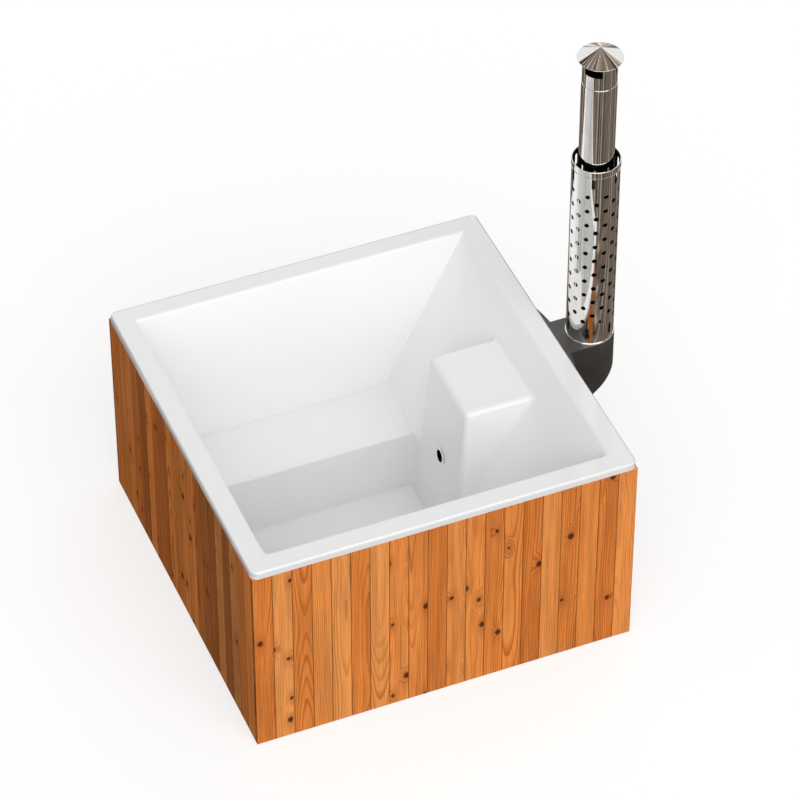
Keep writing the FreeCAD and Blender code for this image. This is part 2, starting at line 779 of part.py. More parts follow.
door_gap = block("door_gap", through, both("door_open_half"), ("door_low", "door_high"))
ash_gap = block("ash_gap", through, both("drawer_half + cut_play"), ("fire_floor", "ash_high + cut_play"))
smoke_gap = block("smoke_gap", through, both("duct_half - boot_wall"),
                  ("duct_low + boot_wall", "duct_low + duct_tall - boot_wall"))
node("stove_front_plate", cut("stove_front_plate", plate, door_gap, ash_gap, smoke_gap))

# Inside the firebox: ledges and drawer runners, the cast grate and the smoke baffle
ledges = []
for sign in ("", "-"):
    beside = span(sign, "fire_in_half - ledge_wide", "fire_in_half")
    ledges.append(block(f"grate_ledge{sign}", ("fire_in_back", "plate_back"), beside,
                        ("grate_low - ledge_tall", "grate_low")))
    ledges.append(block(f"baffle_ledge{sign}", ("plate_back - baffle_reach", "plate_back"), beside,
                        ("baffle_low - ledge_tall", "baffle_low")))
    ledges.append(block(f"runner{sign}", ("fire_in_back", "plate_back"),
                        span(sign, "drawer_half + slide_play", "drawer_half + slide_play + ledge_tall"),
                        ("fire_floor", "fire_floor + ledge_tall")))
node("firebox_ledges", group("firebox_ledges", ledges))
grate_x = (num("fire_in_back") + num("grate_play"), num("plate_back") - num("grate_play"))
grate = block("grate", ("fire_in_back + grate_play", "plate_back - grate_play"),
              both("fire_in_half - grate_play"),
              ("grate_low", "grate_low + grate_thick"))
slot_step = 2 * num("grate_slot")
slots = []
for i in range(int(num("grate_slots"))):
    y = (i - (num("grate_slots") - 1) / 2) * slot_step - num("grate_slot") / 2
    slots.append(Part.makeBox(grate_x[1] - grate_x[0] - 2 * slot_step, num("grate_slot"), num("grate_thick"),
                              Vector(grate_x[0] + slot_step, y, num("grate_low"))))
node("fire_grate", cut("fire_grate", grate, worked("grate_gaps", Part.makeCompound(slots))))
node("smoke_baffle", block("smoke_baffle", ("plate_back - baffle_reach", "plate_back"),
                           both("fire_in_half - cut_play"), ("baffle_low", "baffle_low + baffle_thick")))

# Bowed casing outside the wall, held off the front plate by four standoffs, and the flue box on it
casing_high = "casing_top - casing_low"
bow = rod("bow", "casing_r", ("casing_axis", "0", "casing_low"), casing_high)
bow_room = block("bow_room", ("half_x", "casing_nose"), both("casing_half"), ("casing_low", "casing_top"))
bow_in = rod("bow_in", "casing_r - casing_wall", ("casing_axis", "0", "casing_low + casing_wall"),
             f"{casing_high} - 2 * casing_wall")
out_of = ("half_x", "casing_nose")
frame_gap = block("frame_gap", out_of, both("frame_half + cut_play"),
                  ("door_low - frame_wall - cut_play", "door_high + frame_wall + cut_play"))
drawer_gap = block("drawer_gap", out_of, both("drawer_half + cut_play"),
                   ("ash_low - cut_play", "ash_high + cut_play"))
duct_gap = block("duct_gap", out_of, both("duct_half"), ("duct_low", "duct_low + duct_tall"))
casing_solid = shared("casing_solid", bow, bow_room)
node("front_casing", cut("front_casing", casing_solid, bow_in, frame_gap, drawer_gap, duct_gap))
bow_clear = rod("bow_clear", "casing_r - casing_wall", ("casing_axis", "0", "casing_low"), casing_high)
standoffs = []
for sign in ("", "-"):
    for z in ("stove_low + standoff_in", "stove_high - standoff_in"):
        peg = rod(f"peg_{len(standoffs)}", "standoff_r", ("stove_front", f"{sign}(stove_half)", z),
                  "casing_bulge + front_set_back", "x")
        standoffs.append(shared(f"standoff_{len(standoffs)}", peg, bow_clear))
node("casing_standoffs", group("casing_standoffs", standoffs))
duct_x = ("stove_front", "casing_nose + duct_nose")
duct = block("duct", duct_x, both("duct_half"), ("duct_low", "duct_low + duct_tall"))
duct_in = block("duct_in", duct_x, both("duct_half - boot_wall"),
                ("duct_low + boot_wall", "duct_low + duct_tall - boot_wall"))
node("smoke_duct", cut("smoke_duct", duct, duct_in))


def boot_form(name, inset, floor, top):
    """The flue box's form: a round-ended plan cut by a slanting underside."""
    straight = block(name + "_straight", ("half_x", "flue_x"), both(f"boot_half - {inset}"), ("boot_root", top))
    end = rod(name + "_end", f"boot_half - {inset}", ("flue_x", "0", "boot_root"), f"{top} - boot_root")
    side = prism(name + "_side", [("half_x", f"boot_root + {floor}"), ("boot_nose", f"boot_lip + {floor}"),
                                  ("boot_nose", top), ("half_x", top)], "2 * boot_half")
    return shared(name, join(name + "_plan", straight, end), side)


boot_skin = cut("boot_skin", boot_form("boot_form", "0", "0", "casing_top"), bow)
boot_room = boot_form("boot_room", "boot_wall", "boot_floor", "casing_top - boot_wall")
spigot_hole = rod("spigot_hole", "slip_r", ("flue_x", "0", "casing_top - 2 * boot_wall"), "4 * boot_wall")
node("flue_box", cut("flue_box", boot_skin, boot_room, spigot_hole))

# Chimney: the flue slips over a spigot, and the perforated guard stands round it on a base ring.
# The guard is rolled in flats, two to a column of holes, so that each hole is punched in a flat
stack = ("flue_x", "0")
node("flue_spigot", tube("flue_spigot", "slip_r", "slip_r - sheet", (*stack, "casing_top - spigot_sunk"),
                         "spigot_long + spigot_sunk"))
node("flue_pipe", tube("flue_pipe", "flue_r", "flue_in", (*stack, "casing_top"), "flue_long"))
ring_in = "flue_r + pipe_play"
node("guard_base_ring", turned("guard_base_ring", [
    (ring_in, "0"), ("base_ring_r", "0"), ("base_ring_r", "base_ring_tall / 2"),
    ("base_ring_r - sheet", "base_ring_tall"), (ring_in, "base_ring_tall")], (*stack, "casing_top")))


def about_stack(shape, turn, z):
    """A copy of a shape made on +X about the stack's axis, turned and lifted into place."""
    copy = shape.copy()
    copy.Placement = Placement(Vector(num("flue_x"), 0, z), Rotation(Vector(0, 0, 1), turn))
    return copy


def slots_and_tabs():
    """The guard's end slots, and the tabs that are bent in from them to hold the flue."""
    deep = num("guard_r") - num("flue_r")
    wide, tall = num("slot_wide"), num("slot_tall")
    slot = Part.makeBox(deep, wide, tall, Vector(num("flue_r") + deep / 2, -wide / 2, 0))
    tab_long = deep - num("pipe_play") - num("sheet") / 2
    tab = Part.makeBox(tab_long, num("tab_wide"), num("sheet"),
                       Vector(num("flue_r") + num("pipe_play"), -num("tab_wide") / 2, -num("sheet")))
    openings, bent = [], []
    low, high = num("guard_low") + num("slot_end"), num("guard_top") - num("slot_end") - tall - num("sheet")
    for i in range(int(num("tab_count"))):
        turn = num("slot_turn") + i * 360 / num("tab_count")
        openings += [about_stack(slot, turn, z) for z in (low, high)]
        bent += [about_stack(tab, turn, z) for z in (low, high)]
    return openings, bent


def guard_holes():
    """Punched holes in columns, every second column half a pitch higher and one hole shorter."""
    sides = int(num("hole_sides"))
    corners = [2 * math.pi * (i + 0.5) / sides for i in range(sides + 1)]
    ring = [Vector(0, num("hole_r") * math.cos(a), num("hole_r") * math.sin(a)) for a in corners]
    punch = Part.Face(Part.makePolygon(ring)).extrude(Vector(num("guard_r") + num("hole_r"), 0, 0))
    holes = []
    for column in range(int(num("guard_columns"))):
        odd = column % 2
        turn = num("hole_turn") + column * 360 / num("guard_columns")
        for row in range(int(num("guard_rows")) - odd):
            z = num("guard_low") + num("hole_low") + (row + odd / 2) * num("hole_pitch")
            holes.append(about_stack(punch, turn, z))
    return holes


guard_slots, guard_tabs = slots_and_tabs()
guard_skins = []
for name, radius in (("guard_outside", "guard_r"), ("guard_inside", "guard_r - sheet")):
    skin = doc.addObject("Part::Prism", name)
    bind(skin, Polygon="2 * guard_columns", Circumradius=radius, Height="guard_tall")
    place(skin, (*stack, "guard_low"))
    skin.setExpression("Placement.Rotation.Angle", ex("(hole_turn + 90 / guard_columns) * 1 deg"))
    guard_skins.append(skin)
guard_sheet = cut("guard_sheet", *guard_skins)
guard_gaps = worked("guard_gaps", Part.makeCompound(guard_holes() + guard_slots))
guard_punched = cut("guard_punched", guard_sheet, guard_gaps)
node("heat_guard", join("heat_guard", guard_punched, worked("guard_tabs", Part.makeCompound(guard_tabs))))
band_in = "guard_r + pipe_play"
node("guard_top_ring", turned("guard_top_ring", [
    (band_in, "-band_tall"), (f"{band_in} + sheet", "-band_tall"), (f"{band_in} + sheet", "sheet + pipe_play"),
    ("guard_r - band_lip", "sheet + pipe_play"), ("guard_r - band_lip", "pipe_play"), (band_in, "pipe_play")],
    (*stack, "guard_top")))

# Rain cap: a cone on a windowed collar that is pushed into the flue
collar = tube("collar", "slip_r", "slip_r - sheet", (*stack, "flue_top - collar_grip"),
              "collar_grip + cap_lift + cap_tall")
window = Part.makeBox(num("flue_r"), num("window_wide"), num("cap_lift") + num("cap_tall") - num("window_lift"),
                      Vector(num("flue_r") / 3, -num("window_wide") / 2, 0))
windows = []
for i in range(int(num("window_count"))):
    turn = num("window_turn") + i * 360 / num("window_count")
    windows.append(about_stack(window, turn, num("flue_top") + num("window_lift")))
under_cap = doc.addObject("Part::Cone", "under_cap")
bind(under_cap, Radius1="cap_r - cap_edge", Radius2="0", Height="cap_tall * (1 - cap_edge / cap_r)")
place(under_cap, (*stack, "cap_low"))
below_cap = rod("below_cap", "cap_r - cap_edge", (*stack, "flue_top - collar_grip"), "collar_grip + cap_lift")
collar_cut = cut("collar_cut", collar, worked("windows", Part.makeCompound(windows)))
node("cap_collar", shared("cap_collar", collar_cut, join("cap_room", under_cap, below_cap)))
node("rain_cap", turned("rain_cap", [
    ("cap_r - cap_edge", "0"), ("cap_r", "0"), ("0", "cap_tall"), ("0", "cap_tall * (1 - cap_edge / cap_r)")],
    (*stack, "cap_low")))

# Fire door: frame welded to the front plate, lugs, pins, and the door that swings on them
frame_x = ("stove_front", "frame_front")
frame_out = block("frame_out", frame_x, both("frame_half"), ("door_low - frame_wall", "door_high + frame_wall"))
frame_in = block("frame_in", frame_x, both("door_open_half"), ("door_low", "door_high"))
node("door_frame", cut("door_frame", frame_out, frame_in))
KNUCKLES = ("door_low + hinge_inset", "door_high - hinge_inset")
lugs, pins, knuckles, knuckle_bores = [], [], [], []
for z in KNUCKLES:
    half_knuckle = "(knuckle_long / 2 + slide_play)"
    for low in (f"{z} + {half_knuckle}", f"{z} - {half_knuckle} - lug_thick"):
        level = (low, f"{low} + lug_thick")
        name = f"lug_{len(lugs)}"
        root_x = "frame_front - lug_root"
        arm = block(name + "_arm", (root_x, "frame_front - cut_play"),
                    ("hinge_y - lug_edge", "-frame_half"), level)
        eye = block(name + "_eye", (root_x, "hinge_x + lug_edge"),
                    ("hinge_y - lug_edge", "hinge_y + lug_edge"), level)
        hole = rod(name + "_hole", "pin_r", ("hinge_x", "hinge_y", low), "lug_thick")
        lugs.append(cut(name, join(name + "_body", arm, eye), hole))
    reach = f"({half_knuckle} + lug_thick)"
    name = f"pin_{len(pins)}"
    shank = rod(name + "_shank", "pin_r", ("hinge_x", "hinge_y", f"{z} - {reach}"), f"2 * {reach}")
    head = rod(name + "_head", "knuckle_r", ("hinge_x", "hinge_y", f"{z} + {reach}"), "pin_head")
    pins.append(join(name, shank, head))
    name = f"knuckle_{len(knuckles)}"
    low = f"{z} - knuckle_long / 2"
    barrel = rod(name + "_barrel", "knuckle_r", ("hinge_x", "hinge_y", low), "knuckle_long")
    web = block(name + "_web", ("door_back", "door_face"), ("hinge_y", "-door_open_half - hinge_lap"),
                (low, f"{low} + knuckle_long"))
    knuckles += [barrel, web]
    knuckle_bores.append(rod(name + "_bore", "pin_r + run_play", ("hinge_x", "hinge_y", low), "knuckle_long"))
node("hinge_lugs", group("hinge_lugs", lugs))
node("door_hinge_pins", group("door_hinge_pins", pins))
leaf = block("leaf", ("door_back", "door_face"), ("-door_open_half - hinge_lap", "door_open_half + door_lap"),
             ("door_low - door_lap", "door_high + door_lap"))
shaft_at = ("handle_y", "handle_z")
leaf_bore = rod("leaf_bore", "shaft_r + run_play", ("door_back", *shaft_at), "door_thick", "x")
node("fire_door", cut("fire_door", join("door_body", leaf, *knuckles), leaf_bore, *knuckle_bores))
heat = block("heat", ("door_back - heat_plate", "door_back"), both("door_open_half - heat_plate_play"),
             ("door_low + heat_plate_play", "door_high - heat_plate_play"))
node("door_heat_plate", cut("door_heat_plate", heat, rod(
    "heat_bore", "shaft_r + run_play", ("door_back - heat_plate", *shaft_at), "heat_plate", "x")))
rope_x = ("door_back - gasket_thick", "door_back")
rope_out = block("rope_out", rope_x, both("frame_half"), ("door_low - frame_wall", "door_high + frame_wall"))
rope_in = block("rope_in", rope_x, both("door_open_half"), ("door_low", "door_high"))
node("door_gasket", cut("door_gasket", rope_out, rope_in))
node("latch_catch", block("latch_catch", ("catch_back", "catch_back + catch_thick"),
                          ("door_open_half - catch_deep", "door_open_half"),
                          ("handle_z - catch_tall / 2", "handle_z + catch_tall / 2")))
tongue_back = "tongue_front - catch_thick"
tongue = block("tongue", (tongue_back, "tongue_front"), ("handle_y - tongue_half", "handle_y + tongue_half"),
               ("handle_z - tongue_tall", "handle_z"))
shaft = rod("shaft", "shaft_r", (tongue_back, *shaft_at), f"door_face + grip_out - ({tongue_back})", "x")
grip_at = ("door_face + grip_out", "handle_y - grip_long", "handle_z")
grip = rod("grip", "grip_r", grip_at, "grip_long + grip_r", "y")
node("door_handle", join("door_handle", tongue, shaft, grip))

# Ash drawer under the grate, with its knob and the air slide on its front
tray_out = block("tray_out", ("fire_in_back + drawer_back_gap", "drawer_face"), both("drawer_half"),
                 ("ash_low", "ash_high"))
tray_in = block("tray_in", ("fire_in_back + drawer_back_gap + drawer_wall", "drawer_face - drawer_wall"),
                both("drawer_half - drawer_wall"), ("ash_low + drawer_wall", "ash_high"))
drawer_plate = block("drawer_plate", ("drawer_face", "drawer_out"), both("drawer_half + drawer_lap"),
                     ("ash_low - drawer_lap / 2", "ash_high + drawer_lap / 2"))


def air_gaps(name, x, shift):
    """The row of air slots through a plate."""
    gaps = []
    for i in range(int(num("air_slots"))):
        middle = f"({i} - (air_slots - 1) / 2) * air_pitch - {shift}"
        gaps.append(block(f"{name}_{i}", x, (f"{middle} - air_slot / 2", f"{middle} + air_slot / 2"),
                          ("ash_low + air_low", "ash_low + air_low + air_slot_tall")))
    return gaps


drawer_body = join("drawer_body", cut("tray", tray_out, tray_in), drawer_plate)
front_gaps = air_gaps("air_gap", ("drawer_face - drawer_wall", "drawer_out"), "0")
node("ash_drawer", cut("ash_drawer", drawer_body, *front_gaps))
knob_z = "ash_high - knob_r / 2"
knob_neck = rod("knob_neck", "knob_neck_r", ("drawer_out", "0", knob_z), "knob_neck + knob_r", "x")
node("ash_drawer_knob", join("ash_drawer_knob", knob_neck,
                             ball("knob_ball", "knob_r", ("drawer_out + knob_neck + knob_r", "0", knob_z))))
slide_x = ("slide_in", "slide_in + slide_thick")
slide_top = "slide_low + slide_tall"
slide_plate = block("slide_plate", slide_x, both("slide_half"), ("slide_low", slide_top))
slide_tab = rod("slide_tab", "knob_neck_r", ("slide_in", "slide_half - air_slot", "slide_low + slide_tall / 2"),
                "knob_neck", "x")
node("air_slide", cut("air_slide", join("slide_body", slide_plate, slide_tab),
                      *air_gaps("slide_gap", slide_x, "air_pitch / 2")))
lip_x = ("slide_in + slide_thick + slide_play", "slide_in + slide_thick + slide_play + drawer_wall")
guide_y = both("slide_half + guide_over")
guides = []
for low, lip_low in (("slide_low - slide_play - guide_bar", "slide_low - slide_play"),
                     (f"{slide_top} + slide_play", f"{slide_top} + slide_play - guide_bar")):
    name = f"guide_{len(guides)}"
    bar = block(name + "_bar", ("drawer_out", lip_x[1]), guide_y, (low, f"{low} + guide_bar"))
    lip = block(name + "_lip", lip_x, guide_y, (lip_low, f"{lip_low} + guide_bar"))
    guides.append(join(name, bar, lip))
node("air_slide_guides", group("air_slide_guides", guides))

# Water ports: flanged fittings through the liner, joined to the jacket by clamped hoses
fittings, seals, nuts, hoses, clamps = [], [], [], [], []
for port, (x, y, z) in PORTS.items():
    top = "seal_thick + flange_thick"
    fittings.append(turned(f"{port}_fitting", [
        ("port_bore", "0"), ("flange_r - flange_thick", "0"), ("flange_r", "flange_thick / 2"),
        ("flange_r", "flange_thick"), ("port_r", "flange_thick"), ("port_r", f"{top} + tail_end"),
        ("port_bore", f"{top} + tail_end")], along(port, f"-({top})"), "port"))
    under = along(port, "-seal_thick")
    seals.append(tube(f"{port}_seal", "flange_r - cut_play", "port_r", under, "seal_thick", "port"))
    nuts.append(tube(f"{port}_nut", "port_nut_r", "port_r", along(port, "liner_wall"), "port_nut", "port"))
    first = "liner_wall + port_nut + hose_end"
    last = f"(stove_back - {x}) * lean_long - hose_end - face_lean * port_nut_r"
    hose_at = along(port, first)
    hoses.append(tube(f"{port}_hose", "port_r + hose_wall", "port_r", hose_at, f"{last} - ({first})", "port"))
    for i, begin in enumerate((f"{first} + hose_end", f"{last} - hose_end - clamp_wide")):
        clamps.append(tube(f"{port}_clamp_{i}", "port_r + hose_wall + clamp_wall", "port_r + hose_wall",
                           along(port, begin), "clamp_wide", "port"))
node("port_fittings", group("port_fittings", fittings))
node("port_gaskets", group("port_gaskets", seals))
node("port_nuts", group("port_nuts", nuts))
node("jacket_hoses", group("jacket_hoses", hoses))
node("hose_clamps", group("hose_clamps", clamps))

# Drain: strainer and fitting in the footwell's floor, a pipe under the deck and a ball valve at the back
drain = ("drain_x", "0")
seat = "floor_top + seal_thick"
node("drain_gasket",
     tube("drain_gasket", "drain_flange_r - cut_play", "pipe_r", (*drain, "floor_top"), "seal_thick"))
node("drain_fitting", turned("drain_fitting", [
    ("pipe_in", "pipe_z + pipe_wall"), ("pipe_r", "pipe_z + pipe_wall"), ("pipe_r", seat), ("drain_flange_r", seat),
    ("drain_flange_r", f"{seat} + drain_flange / 2"), ("drain_flange_r - drain_flange", f"{seat} + drain_flange"),
    ("pipe_in", f"{seat} + drain_flange")], (*drain, "0")))
strainer_low = f"{seat} + drain_flange"
strainer_gaps = []
for i in range(int(num("strainer_holes"))):
    turn = f"{i} * 360 deg / strainer_holes"
    ring = "(strainer_r / 2)"
    gap_at = (f"drain_x + {ring} * cos({turn})", f"{ring} * sin({turn})", strainer_low)
    strainer_gaps.append(rod(f"strainer_gap_{i}", "strainer_hole_r", gap_at, "sheet"))
node("drain_strainer", cut("drain_strainer", rod("strainer", "strainer_r", (*drain, strainer_low), "sheet"),
                           *strainer_gaps))
node("drain_nut", tube("drain_nut", "drain_nut_r", "pipe_r", (*drain, "bearer_tall - drain_nut"), "drain_nut"))
bend = (*drain, "pipe_z")
riser_long = "bearer_tall - drain_nut - slide_play - pipe_z"
elbow_out = join("elbow_out", ball("elbow_ball", "socket_r", bend),
                 rod("elbow_up", "socket_r", bend, riser_long),
                 rod("elbow_back", "socket_r", bend, "elbow_arm", "y"))
elbow_in = join("elbow_in", ball("elbow_ball_in", "socket_in", bend),
                rod("elbow_up_in", "socket_in", bend, riser_long),
                rod("elbow_back_in", "socket_in", bend, "elbow_arm", "y"))
node("drain_elbow", cut("drain_elbow", elbow_out, elbow_in))
pipe_start = "socket_r"
valve_start = "valve_y - valve_half"
node("drain_pipe", tube("drain_pipe", "pipe_r", "pipe_in", ("drain_x", pipe_start, "pipe_z"),
                        f"{valve_start} - {pipe_start}", "y"))
inlet = ("drain_x", f"{valve_start} - valve_socket", "pipe_z")
valve_in = rod("valve_in", "socket_r", inlet, "valve_socket", "y")
valve_mid = rod("valve_mid", "valve_r", ("drain_x", valve_start, "pipe_z"), "2 * valve_half", "y")
valve_end = rod("valve_end", "pipe_r", ("drain_x", "valve_y + valve_half", "pipe_z"), "spigot_out", "y")
valve_axis = ("drain_x", "valve_y")
neck = rod("neck", "neck_r", (*valve_axis, "pipe_z"), "neck_top - pipe_z")
socket_bore = rod("socket_bore", "socket_in", inlet, "valve_socket", "y")
valve_bore = rod("valve_bore", "pipe_in", ("drain_x", valve_start, "pipe_z"),
                 "2 * valve_half + spigot_out", "y")
ball_room = ball("ball_room", "ball_r + slide_play", (*valve_axis, "pipe_z"))
stem_bore = rod("stem_bore", "stem_r + run_play", (*valve_axis, "pipe_z"), "neck_top - pipe_z")
node("drain_valve_body", cut("drain_valve_body", join("valve_body", valve_in, valve_mid, valve_end, neck),
                             socket_bore, valve_bore, ball_room, stem_bore))
stem_top = "neck_top + slide_play + lever_thick"
stem = rod("stem", "stem_r", (*valve_axis, "pipe_z"), f"{stem_top} - pipe_z")
stem_ball = join("stem_ball", ball("ball_solid", "ball_r", (*valve_axis, "pipe_z")), stem)
ball_way = rod("ball_way", "ball_bore", ("drain_x - ball_r", "valve_y", "pipe_z"), "2 * ball_r", "x")
node("drain_ball", cut("drain_ball", stem_ball, ball_way))
lever_level = ("neck_top + slide_play", stem_top)
lever_bar = block("lever_bar", ("drain_x - lever_wide / 2", "drain_x + lever_long"),
                  ("valve_y - lever_wide / 2", "valve_y + lever_wide / 2"), lever_level)
lever_hole = rod("lever_hole", "stem_r", (*valve_axis, "neck_top + slide_play"), "lever_thick")
node("drain_lever", cut("drain_lever", lever_bar, lever_hole))

doc.recompute()
for thing in doc.Objects:
    faults = {"Invalid", "Error"} & set(thing.State)
    assert not faults, f"{thing.Name}: {thing.State}"
for name, thing in nodes.items():
    shape = thing.Shape
    assert not shape.isNull() and shape.isValid() and shape.Solids, f"{name} has no valid solid"
os.makedirs("parts", exist_ok=True)
for name, thing in nodes.items():
    thing.Shape.exportStep(f"parts/{name}.step")
print(len(nodes), "sub-parts")
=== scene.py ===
"""Looks of a square wood-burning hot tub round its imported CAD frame. Metres, +X stove side, +Z up."""
import math

import bmesh
import bpy
from mathutils import Matrix, Vector


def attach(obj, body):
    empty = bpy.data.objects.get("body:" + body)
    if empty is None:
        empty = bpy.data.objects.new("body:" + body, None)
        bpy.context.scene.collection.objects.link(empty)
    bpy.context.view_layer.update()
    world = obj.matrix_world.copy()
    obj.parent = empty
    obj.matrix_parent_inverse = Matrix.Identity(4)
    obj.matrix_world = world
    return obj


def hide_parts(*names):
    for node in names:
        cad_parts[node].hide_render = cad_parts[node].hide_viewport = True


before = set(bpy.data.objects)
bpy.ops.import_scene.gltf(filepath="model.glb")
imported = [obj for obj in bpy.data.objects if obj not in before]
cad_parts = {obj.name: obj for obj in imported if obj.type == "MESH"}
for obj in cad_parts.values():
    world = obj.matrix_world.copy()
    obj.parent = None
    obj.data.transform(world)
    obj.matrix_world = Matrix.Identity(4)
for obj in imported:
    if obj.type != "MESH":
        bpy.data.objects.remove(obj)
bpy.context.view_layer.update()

# Timber frame: planed spruce bearers, deck, posts, rails and seat ribs, screwed together.
# Bare wood, so it is pale and dull, with soft brown growth rings along each length.


def tint(code):
    """An sRGB hex colour as linear RGBA."""
    shares = [int(code[i:i + 2], 16) / 255 for i in (1, 3, 5)]
    return [c / 12.92 if c <= 0.04045 else ((c + 0.055) / 1.055) ** 2.4 for c in shares] + [1.0]


def finish(name, colour, roughness, metallic=0.0):
    """A new material on a Principled shader; gives the material, its tree and that shader."""
    material = bpy.data.materials.new(name)
    material.use_nodes = True
    shader = material.node_tree.nodes["Principled BSDF"]
    shader.inputs["Base Color"].default_value = tint(colour)
    shader.inputs["Roughness"].default_value = roughness
    shader.inputs["Metallic"].default_value = metallic
    return material, material.node_tree, shader


def add(tree, kind, inputs=None, stops=None, **settings):
    """One node with its settings; an input is a number, a colour, a socket or the node that feeds it."""
    node = tree.nodes.new("ShaderNode" + kind)
    for name, value in settings.items():
        setattr(node, name, value)
    for key, value in (inputs or {}).items():
        if isinstance(value, bpy.types.Node):
            value = value.outputs[0]
        if isinstance(value, bpy.types.NodeSocket):
            tree.links.new(value, node.inputs[key])
        else:
            node.inputs[key].default_value = value
    if stops:
        ramp = node.color_ramp.elements
        while len(ramp) < len(stops):
            ramp.new(0.5)
        for element, (place, colour) in zip(ramp, stops):
            element.position = place
            element.color = tint(colour)
    return node


def dress(names, material):
    """Gives CAD nodes a finish."""
    for name in names.split():
        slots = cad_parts[name].data.materials
        slots.clear()
        slots.append(material)


def planed_spruce(name, stretch):
    """Bare spruce; stretch is how often the rings repeat per metre along X, Y and Z."""
    material, tree, shader = finish(name, "#d3b487", 0.7)
    place = add(tree, "TexCoord").outputs["Object"]
    grain = add(tree, "Mapping", {"Vector": place, "Scale": stretch})
    rings = add(tree, "TexNoise", {"Vector": grain, "Scale": 1.0, "Detail": 4.0, "Distortion": 0.6})
    colour = add(tree, "ValToRGB", {"Fac": rings}, [(0.35, "#b99568"), (0.65, "#dcc093")])
    tree.links.new(colour.outputs[0], shader.inputs["Base Color"])
    return material


dress("corner_posts stove_studs seat_ribs", planed_spruce("planed_spruce_upright", (60, 60, 4)))
dress("base_bearers", planed_spruce("planed_spruce_bearers", (60, 4, 60)))
dress("floor_deck", planed_spruce("planed_spruce_deck", (4, 30, 30)))
dress("top_rails mid_rails bottom_rails", planed_spruce("planed_spruce_rails", (6, 6, 60)))

# Liner: one white acrylic moulding with rim, seats, footwell and the hump over the stove.
# Vacuum-formed gloss sheet, so its edges are soft and its surface is clean and faintly wavy.
RIM, OPEN, LIP = 0.9, 0.803, 1.026
TOP, SEAT, FLOOR, HUMP = 1.061, 0.4, 0.076, 0.93
LEFT, RIGHT, SEAT_END = -0.653, 0.345, 0.653
WELL, WELL_FLOOR, WELL_LEFT, WELL_RIGHT = 0.294, 0.279, -0.638, 0.32232
HUMP_FOOT, HUMP_HALF, HUMP_FACE, HUMP_HEEL = 0.23, 0.214, 0.3821, 0.71223
PORT, DRAIN, PORT_LEAN = 0.0355, 0.0165, math.radians(-86)
WALL, MARGIN, SOFTEST_MM = 0.008, 0.002, 40


def remap(tree, value, source=(0.0, 1.0), target=(0.0, 1.0), **settings):
    """A value moved from one span to another."""
    spans = {"From Min": source[0], "From Max": source[1], "To Min": target[0], "To Max": target[1]}
    return add(tree, "MapRange", {"Value": value} | spans, **settings)


acrylic, tree, shader = finish("gloss_white_acrylic", "#f5f5f5", 0.08)
place = add(tree, "TexCoord").outputs["Object"]
waves = add(tree, "TexNoise", {"Vector": place, "Scale": 9.0, "Detail": 1.0})
swell = add(tree, "Bump", {"Height": waves, "Strength": 0.25, "Distance": 0.002})
tree.links.new(swell.outputs[0], shader.inputs["Normal"])
dust = add(tree, "TexNoise", {"Vector": place, "Scale": 25.0, "Detail": 3.0})
sheen = remap(tree, dust, (0.3, 0.7), (0.04, 0.1))
tree.links.new(sheen.outputs[0], shader.inputs["Roughness"])


def piece(name, bm, node, material, body="tub", sharp=30):
    """A finished mesh that stands for a CAD node and rides on its body."""
    mesh = bpy.data.meshes.new(name)
    bm.to_mesh(mesh)
    bm.free()
    mesh.polygons.foreach_set("use_smooth", [True] * len(mesh.polygons))
    mesh.set_sharp_from_angle(angle=math.radians(sharp))
    mesh.materials.append(material)
    thing = bpy.data.objects.new(name, mesh)
    bpy.context.scene.collection.objects.link(thing)
    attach(thing, body)
    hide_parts(node)
    return thing


# Corners: A opening, B seat's outer edge, C seat's inner edge, D footwell's floor, E and F rim, M and N hump
corners = {"M1": (RIGHT, -HUMP_FOOT, SEAT), "M4": (RIGHT, HUMP_FOOT, SEAT)}
for k, (x, y) in enumerate(((-1, -1), (1, -1), (1, 1), (-1, 1)), 1):
    corners[f"A{k}"] = (x * OPEN, y * OPEN, TOP)
    corners[f"B{k}"] = (RIGHT if x > 0 else LEFT, y * SEAT_END, SEAT)
    corners[f"C{k}"] = (RIGHT if x > 0 else LEFT, y * WELL, SEAT)
    corners[f"D{k}"] = (WELL_RIGHT if x > 0 else WELL_LEFT, y * WELL_FLOOR, FLOOR)
    corners[f"E{k}"] = (x * RIM, y * RIM, TOP)
    corners[f"F{k}"] = (x * RIM, y * RIM, LIP)
    corners[f"N{k}"] = (HUMP_FACE if k in (1, 4) else HUMP_HEEL, y * HUMP_HALF, HUMP)
sheets = """A1A2E2E1 A2A3E3E2 A3A4E4E3 A4A1E1E4 E1E2F2F1 E2E3F3F2 E3E4F4F3 E4E1F1F4 A1B1B2A2 A3B3B4A4
    A1A4B4C4C1B1 C1C4D4D1 A2B2C2M1N2N3M4C3B3A3 B1C1C2B2 B4B3C3C4 C1D1D2C2 C4C3D3D4 D1D4D3D2
    D2D3C3M4N4N1M1C2 N1N4N3N2 M1N1N2 M4N3N4"""
